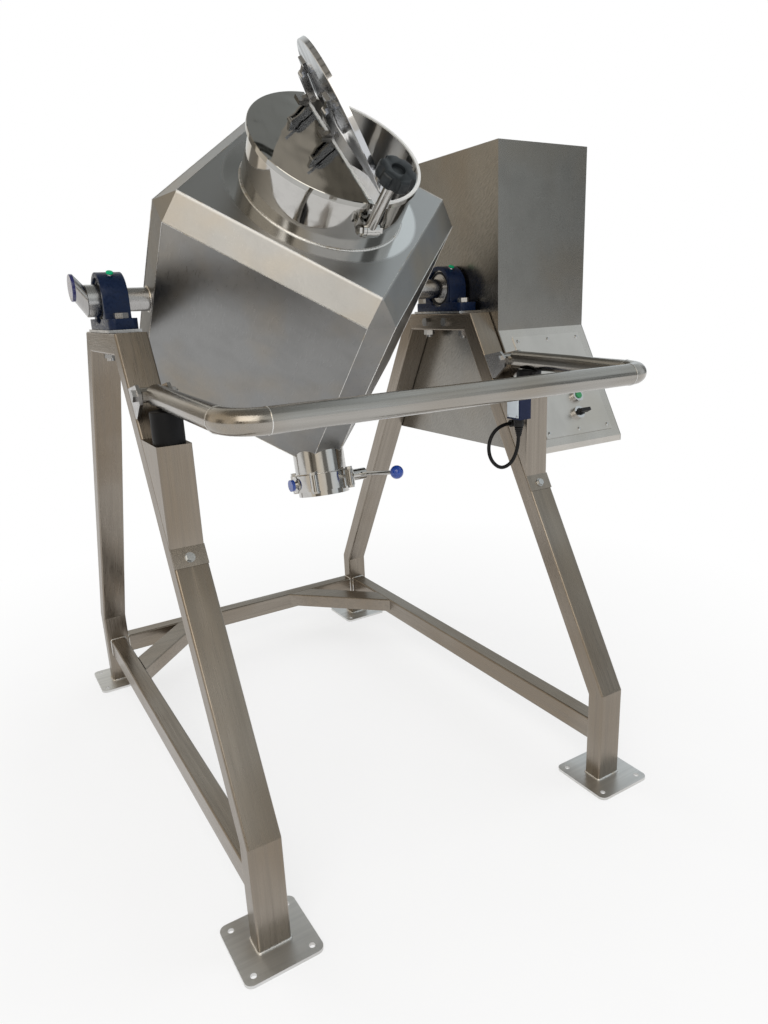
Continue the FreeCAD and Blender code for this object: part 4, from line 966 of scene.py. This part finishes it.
class MIXER_OT_guard(Operator):
    """Brushes the guard, finishes its hinges and adds its elbow welds"""
    bl_idname = "mixer.guard"
    bl_label = "Guard"

    def execute(self, context):
        frame_sizes = context.scene.mixer_frame
        tube = brushed("guard_steel", (0.38, 0.365, 0.34), (0.33, 0.295, 0.25), "X", 0.2)
        dress(tube, "guard_tube")
        dress(turned_steel("guard_hinge_steel", (0.42, 0.41, 0.4), 0.27), "guard_hinges")
        self.elbow_welds(context.scene.mixer_guard, frame_sizes.gauge / 2)
        return {"FINISHED"}

    def elbow_welds(self, sizes, side):
        """A fine ring at each end of both elbows, drooping with the guard about its pins."""
        pin = Vector((0, sizes.pin_y, sizes.pin_z))
        droop = moved(*pin) @ Matrix.Rotation(sizes.droop, 4, "X") @ moved(*-pin)
        bead_size = 0.0009
        rings = []
        for sign in (-1, 1):
            along = moved(sign * (side - sizes.elbow), sizes.front, sizes.pin_z) @ quarter("Y")
            rings.append(ring(sizes.radius, bead_size, 0, droop @ along, 48, 6))
            arm = moved(sign * side, sizes.front + sizes.elbow, sizes.pin_z) @ quarter("X")
            rings.append(ring(sizes.radius, bead_size, 0, droop @ arm, 48, 6))
        bead = weld_metal("guard_weld")
        piece_done(joined(rings), "guard_welds", "guard", bead, 60)


class MIXER_OT_bearings(Operator):
    """Shows the pillow blocks as painted castings with seals and grease nipples"""
    bl_idname = "mixer.bearings"
    bl_label = "Bearings"

    def execute(self, context):
        sizes = context.scene.mixer_bearings
        vessel = context.scene.mixer_vessel
        frame_sizes = context.scene.mixer_frame
        blocks = cad_copy("bearing_blocks", "bearing_castings")
        soften(blocks, sizes.edge, 3, 35)
        paint = cast_paint("bearing_paint", tuple(sizes.paint))
        piece_done(blocks, "bearing_castings", "frame", paint)
        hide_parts("bearing_blocks")
        steel = turned_steel("ring_steel", (0.5, 0.5, 0.5), 0.22)
        dress(steel, "bearing_inner_rings", "bearing_outer_rings", "bearing_bolts", "bearing_shims")
        seal_radius, seal_size, seal_place = 0.0363, 0.0032, 0.0178
        crest = 0.0515
        collar = crest + 0.0025
        radius = sizes.nipple
        seals = []
        nipples = []
        caps = []
        for x in (-frame_sizes.gauge / 2, frame_sizes.gauge / 2):
            middle = moved(x, 0, vessel.height)
            for side in (-1, 1):
                place = side * seal_place
                seals.append(ring(seal_radius, seal_size, place, middle @ quarter("Y"), 64, 8))
            spot = middle @ Matrix.Rotation(sizes.lean, 4, "X")
            nipples.append(disc(radius * 1.5, crest - 0.003, collar, spot, 6, 0.0004))
            nipples.append(disc(radius * 0.8, collar, crest + 0.005, spot, 24, 0.0008))
            caps.append(disc(radius * 1.7, crest + 0.0028, crest + 0.007, spot, 32, 0.0018, 3))
        rubber = moulded("seal_rubber", (0.015, 0.015, 0.016), 0.5)
        piece_done(joined(seals), "bearing_seals", "frame", rubber)
        piece_done(joined(nipples), "grease_nipples", "frame", steel)
        green = moulded("nipple_cap_green", tuple(sizes.cap), 0.35, 600, 0.05, 1.2)
        piece_done(joined(caps), "nipple_caps", "frame", green)
        return {"FINISHED"}


class MIXER_OT_bumpers(Operator):
    """Dresses the guard's buffers in rubber"""
    bl_idname = "mixer.bumpers"
    bl_label = "Guard buffers"

    def execute(self, context):
        rubber = moulded("bumper_rubber", (0.0025, 0.0025, 0.003), 0.5, 800, 0.2, 1.4)
        dress(rubber, "guard_bumpers")
        return {"FINISHED"}


class MIXER_OT_housing(Operator):
    """Finishes the drive housing's sheets"""
    bl_idname = "mixer.housing"
    bl_label = "Drive housing"

    def execute(self, context):
        sheet = satin("housing_sheet", (0.27, 0.26, 0.24), (0.255, 0.23, 0.195), 0.28)
        dress(sheet, "housing_upper_cover", "housing_sides", "housing_bottom_plate")
        # Painted light: the skirts are a paler copy of the housing sheet, standing in for the light
        # falling on their upward-facing slopes.
        dress(satin("skirt_sheet_painted_light", (0.56, 0.535, 0.50), (0.50, 0.47, 0.42), 0.3), "housing_skirts")
        # Painted reflection: the control panel is a paler copy of the housing sheet, standing in
        # for the bright hall that its upward-facing slope reflects.
        dress(satin("panel_sheet_painted_light", (0.60, 0.575, 0.54), (0.55, 0.515, 0.46), 0.34), "control_panel")
        dress(turned_steel("screw_steel", (0.52, 0.52, 0.51), 0.2), "cover_screws")
        return {"FINISHED"}


class MIXER_OT_controls(Operator):
    """Finishes the selector and the start button"""
    bl_idname = "mixer.controls"
    bl_label = "Controls"

    def execute(self, context):
        sizes = context.scene.mixer_controls
        dress(polished("bezel_chrome", (0.6, 0.6, 0.6), 0.1, 0.05), "switch_bezels")
        dress(moulded("selector_plastic", tuple(sizes.black), 0.35), "selector_knob")
        green = moulded("button_plastic", tuple(sizes.green), 0.35, 700, 0.08, 1.3, 0.3)
        dress(green, "start_button")
        return {"FINISHED"}


class MIXER_OT_safety_switch(Operator):
    """Finishes the safety switch, with its grey cover and screws"""
    bl_idname = "mixer.safety_switch"
    bl_label = "Safety switch"

    def execute(self, context):
        sizes = context.scene.mixer_controls
        low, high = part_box("switch_body")
        dress(moulded("switch_blue", tuple(sizes.switch_body), 0.4), "switch_body")
        dress(moulded("switch_black", (0.015, 0.015, 0.016), 0.42), "switch_lever", "cable_glands")
        outer = low.x - 0.0018
        cover = block(
            outer, low.x + 0.0002, low.y + 0.003, high.y - 0.003, low.z + 0.004, low.z + 0.049,
            0.0009, 3,
        )
        grey = moulded("switch_cover_grey", tuple(sizes.switch_cover), 0.4, 500, 0.08, 1.1)
        piece_done(cover, "switch_cover", "frame", grey)
        screws = []
        for y in (low.y + 0.0065, high.y - 0.0065):
            for z in (low.z + 0.0075, low.z + 0.0455):
                place = moved(outer, y, z) @ quarter("Y", -1)
                screws.append(disc(0.0019, -0.0004, 0.0011, place, 20, 0.0005))
        steel = turned_steel("small_screw_steel", (0.5, 0.5, 0.5), 0.25)
        piece_done(joined(screws), "switch_cover_screws", "frame", steel)
        return {"FINISHED"}


class MIXER_OT_drive(Operator):
    """Finishes the gear and motor inside the housing"""
    bl_idname = "mixer.drive"
    bl_label = "Drive"

    def execute(self, context):
        dress(cast_paint("drive_grey", (0.12, 0.13, 0.14)), "gear_case", "motor_body")
        dress(moulded("fan_plastic", (0.03, 0.03, 0.032), 0.45), "motor_fan")
        steel = turned_steel("drive_steel", (0.4, 0.4, 0.4), 0.3)
        dress(steel, "gear_output_sleeve", "gear_mounts")
        return {"FINISHED"}


class MIXER_PT_sidebar(Panel):
    """Lists the mixer's pieces"""
    bl_idname = "MIXER_PT_sidebar"
    bl_label = "Cubic powder mixer"
    bl_space_type = "VIEW_3D"
    bl_region_type = "UI"
    bl_category = "Mixer"

    def draw(self, context):
        for step in steps:
            self.layout.operator(step.bl_idname)


steps = (
    MIXER_OT_stage, MIXER_OT_switch_cable, MIXER_OT_frame, MIXER_OT_vessel, MIXER_OT_manway,
    MIXER_OT_star_knob, MIXER_OT_outlet, MIXER_OT_guard, MIXER_OT_bearings, MIXER_OT_bumpers,
    MIXER_OT_housing, MIXER_OT_controls, MIXER_OT_safety_switch, MIXER_OT_drive,
)
groups = {
    "mixer_frame": FrameSizes,
    "mixer_vessel": VesselSizes,
    "mixer_guard": GuardSizes,
    "mixer_bearings": BearingSizes,
    "mixer_controls": ControlSizes,
    "mixer_cable": CableSizes,
    "mixer_stage": StageSizes,
}
classes = (*groups.values(), *steps, MIXER_PT_sidebar)


def register():
    for kind in classes:
        bpy.utils.register_class(kind)
    for name, group in groups.items():
        setattr(bpy.types.Scene, name, PointerProperty(type=group))


def unregister():
    for name in groups:
        delattr(bpy.types.Scene, name)
    for kind in reversed(classes):
        bpy.utils.unregister_class(kind)


def main():
    register()
    bpy.ops.mixer.stage()
    bpy.ops.mixer.switch_cable()
    bpy.ops.mixer.frame()
    bpy.ops.mixer.vessel()
    bpy.ops.mixer.manway()
    bpy.ops.mixer.star_knob()
    bpy.ops.mixer.outlet()
    bpy.ops.mixer.guard()
    bpy.ops.mixer.bearings()
    bpy.ops.mixer.bumpers()
    bpy.ops.mixer.housing()
    bpy.ops.mixer.controls()
    bpy.ops.mixer.safety_switch()
    bpy.ops.mixer.drive()
    deselect()


if __name__ == "__main__":
    main()
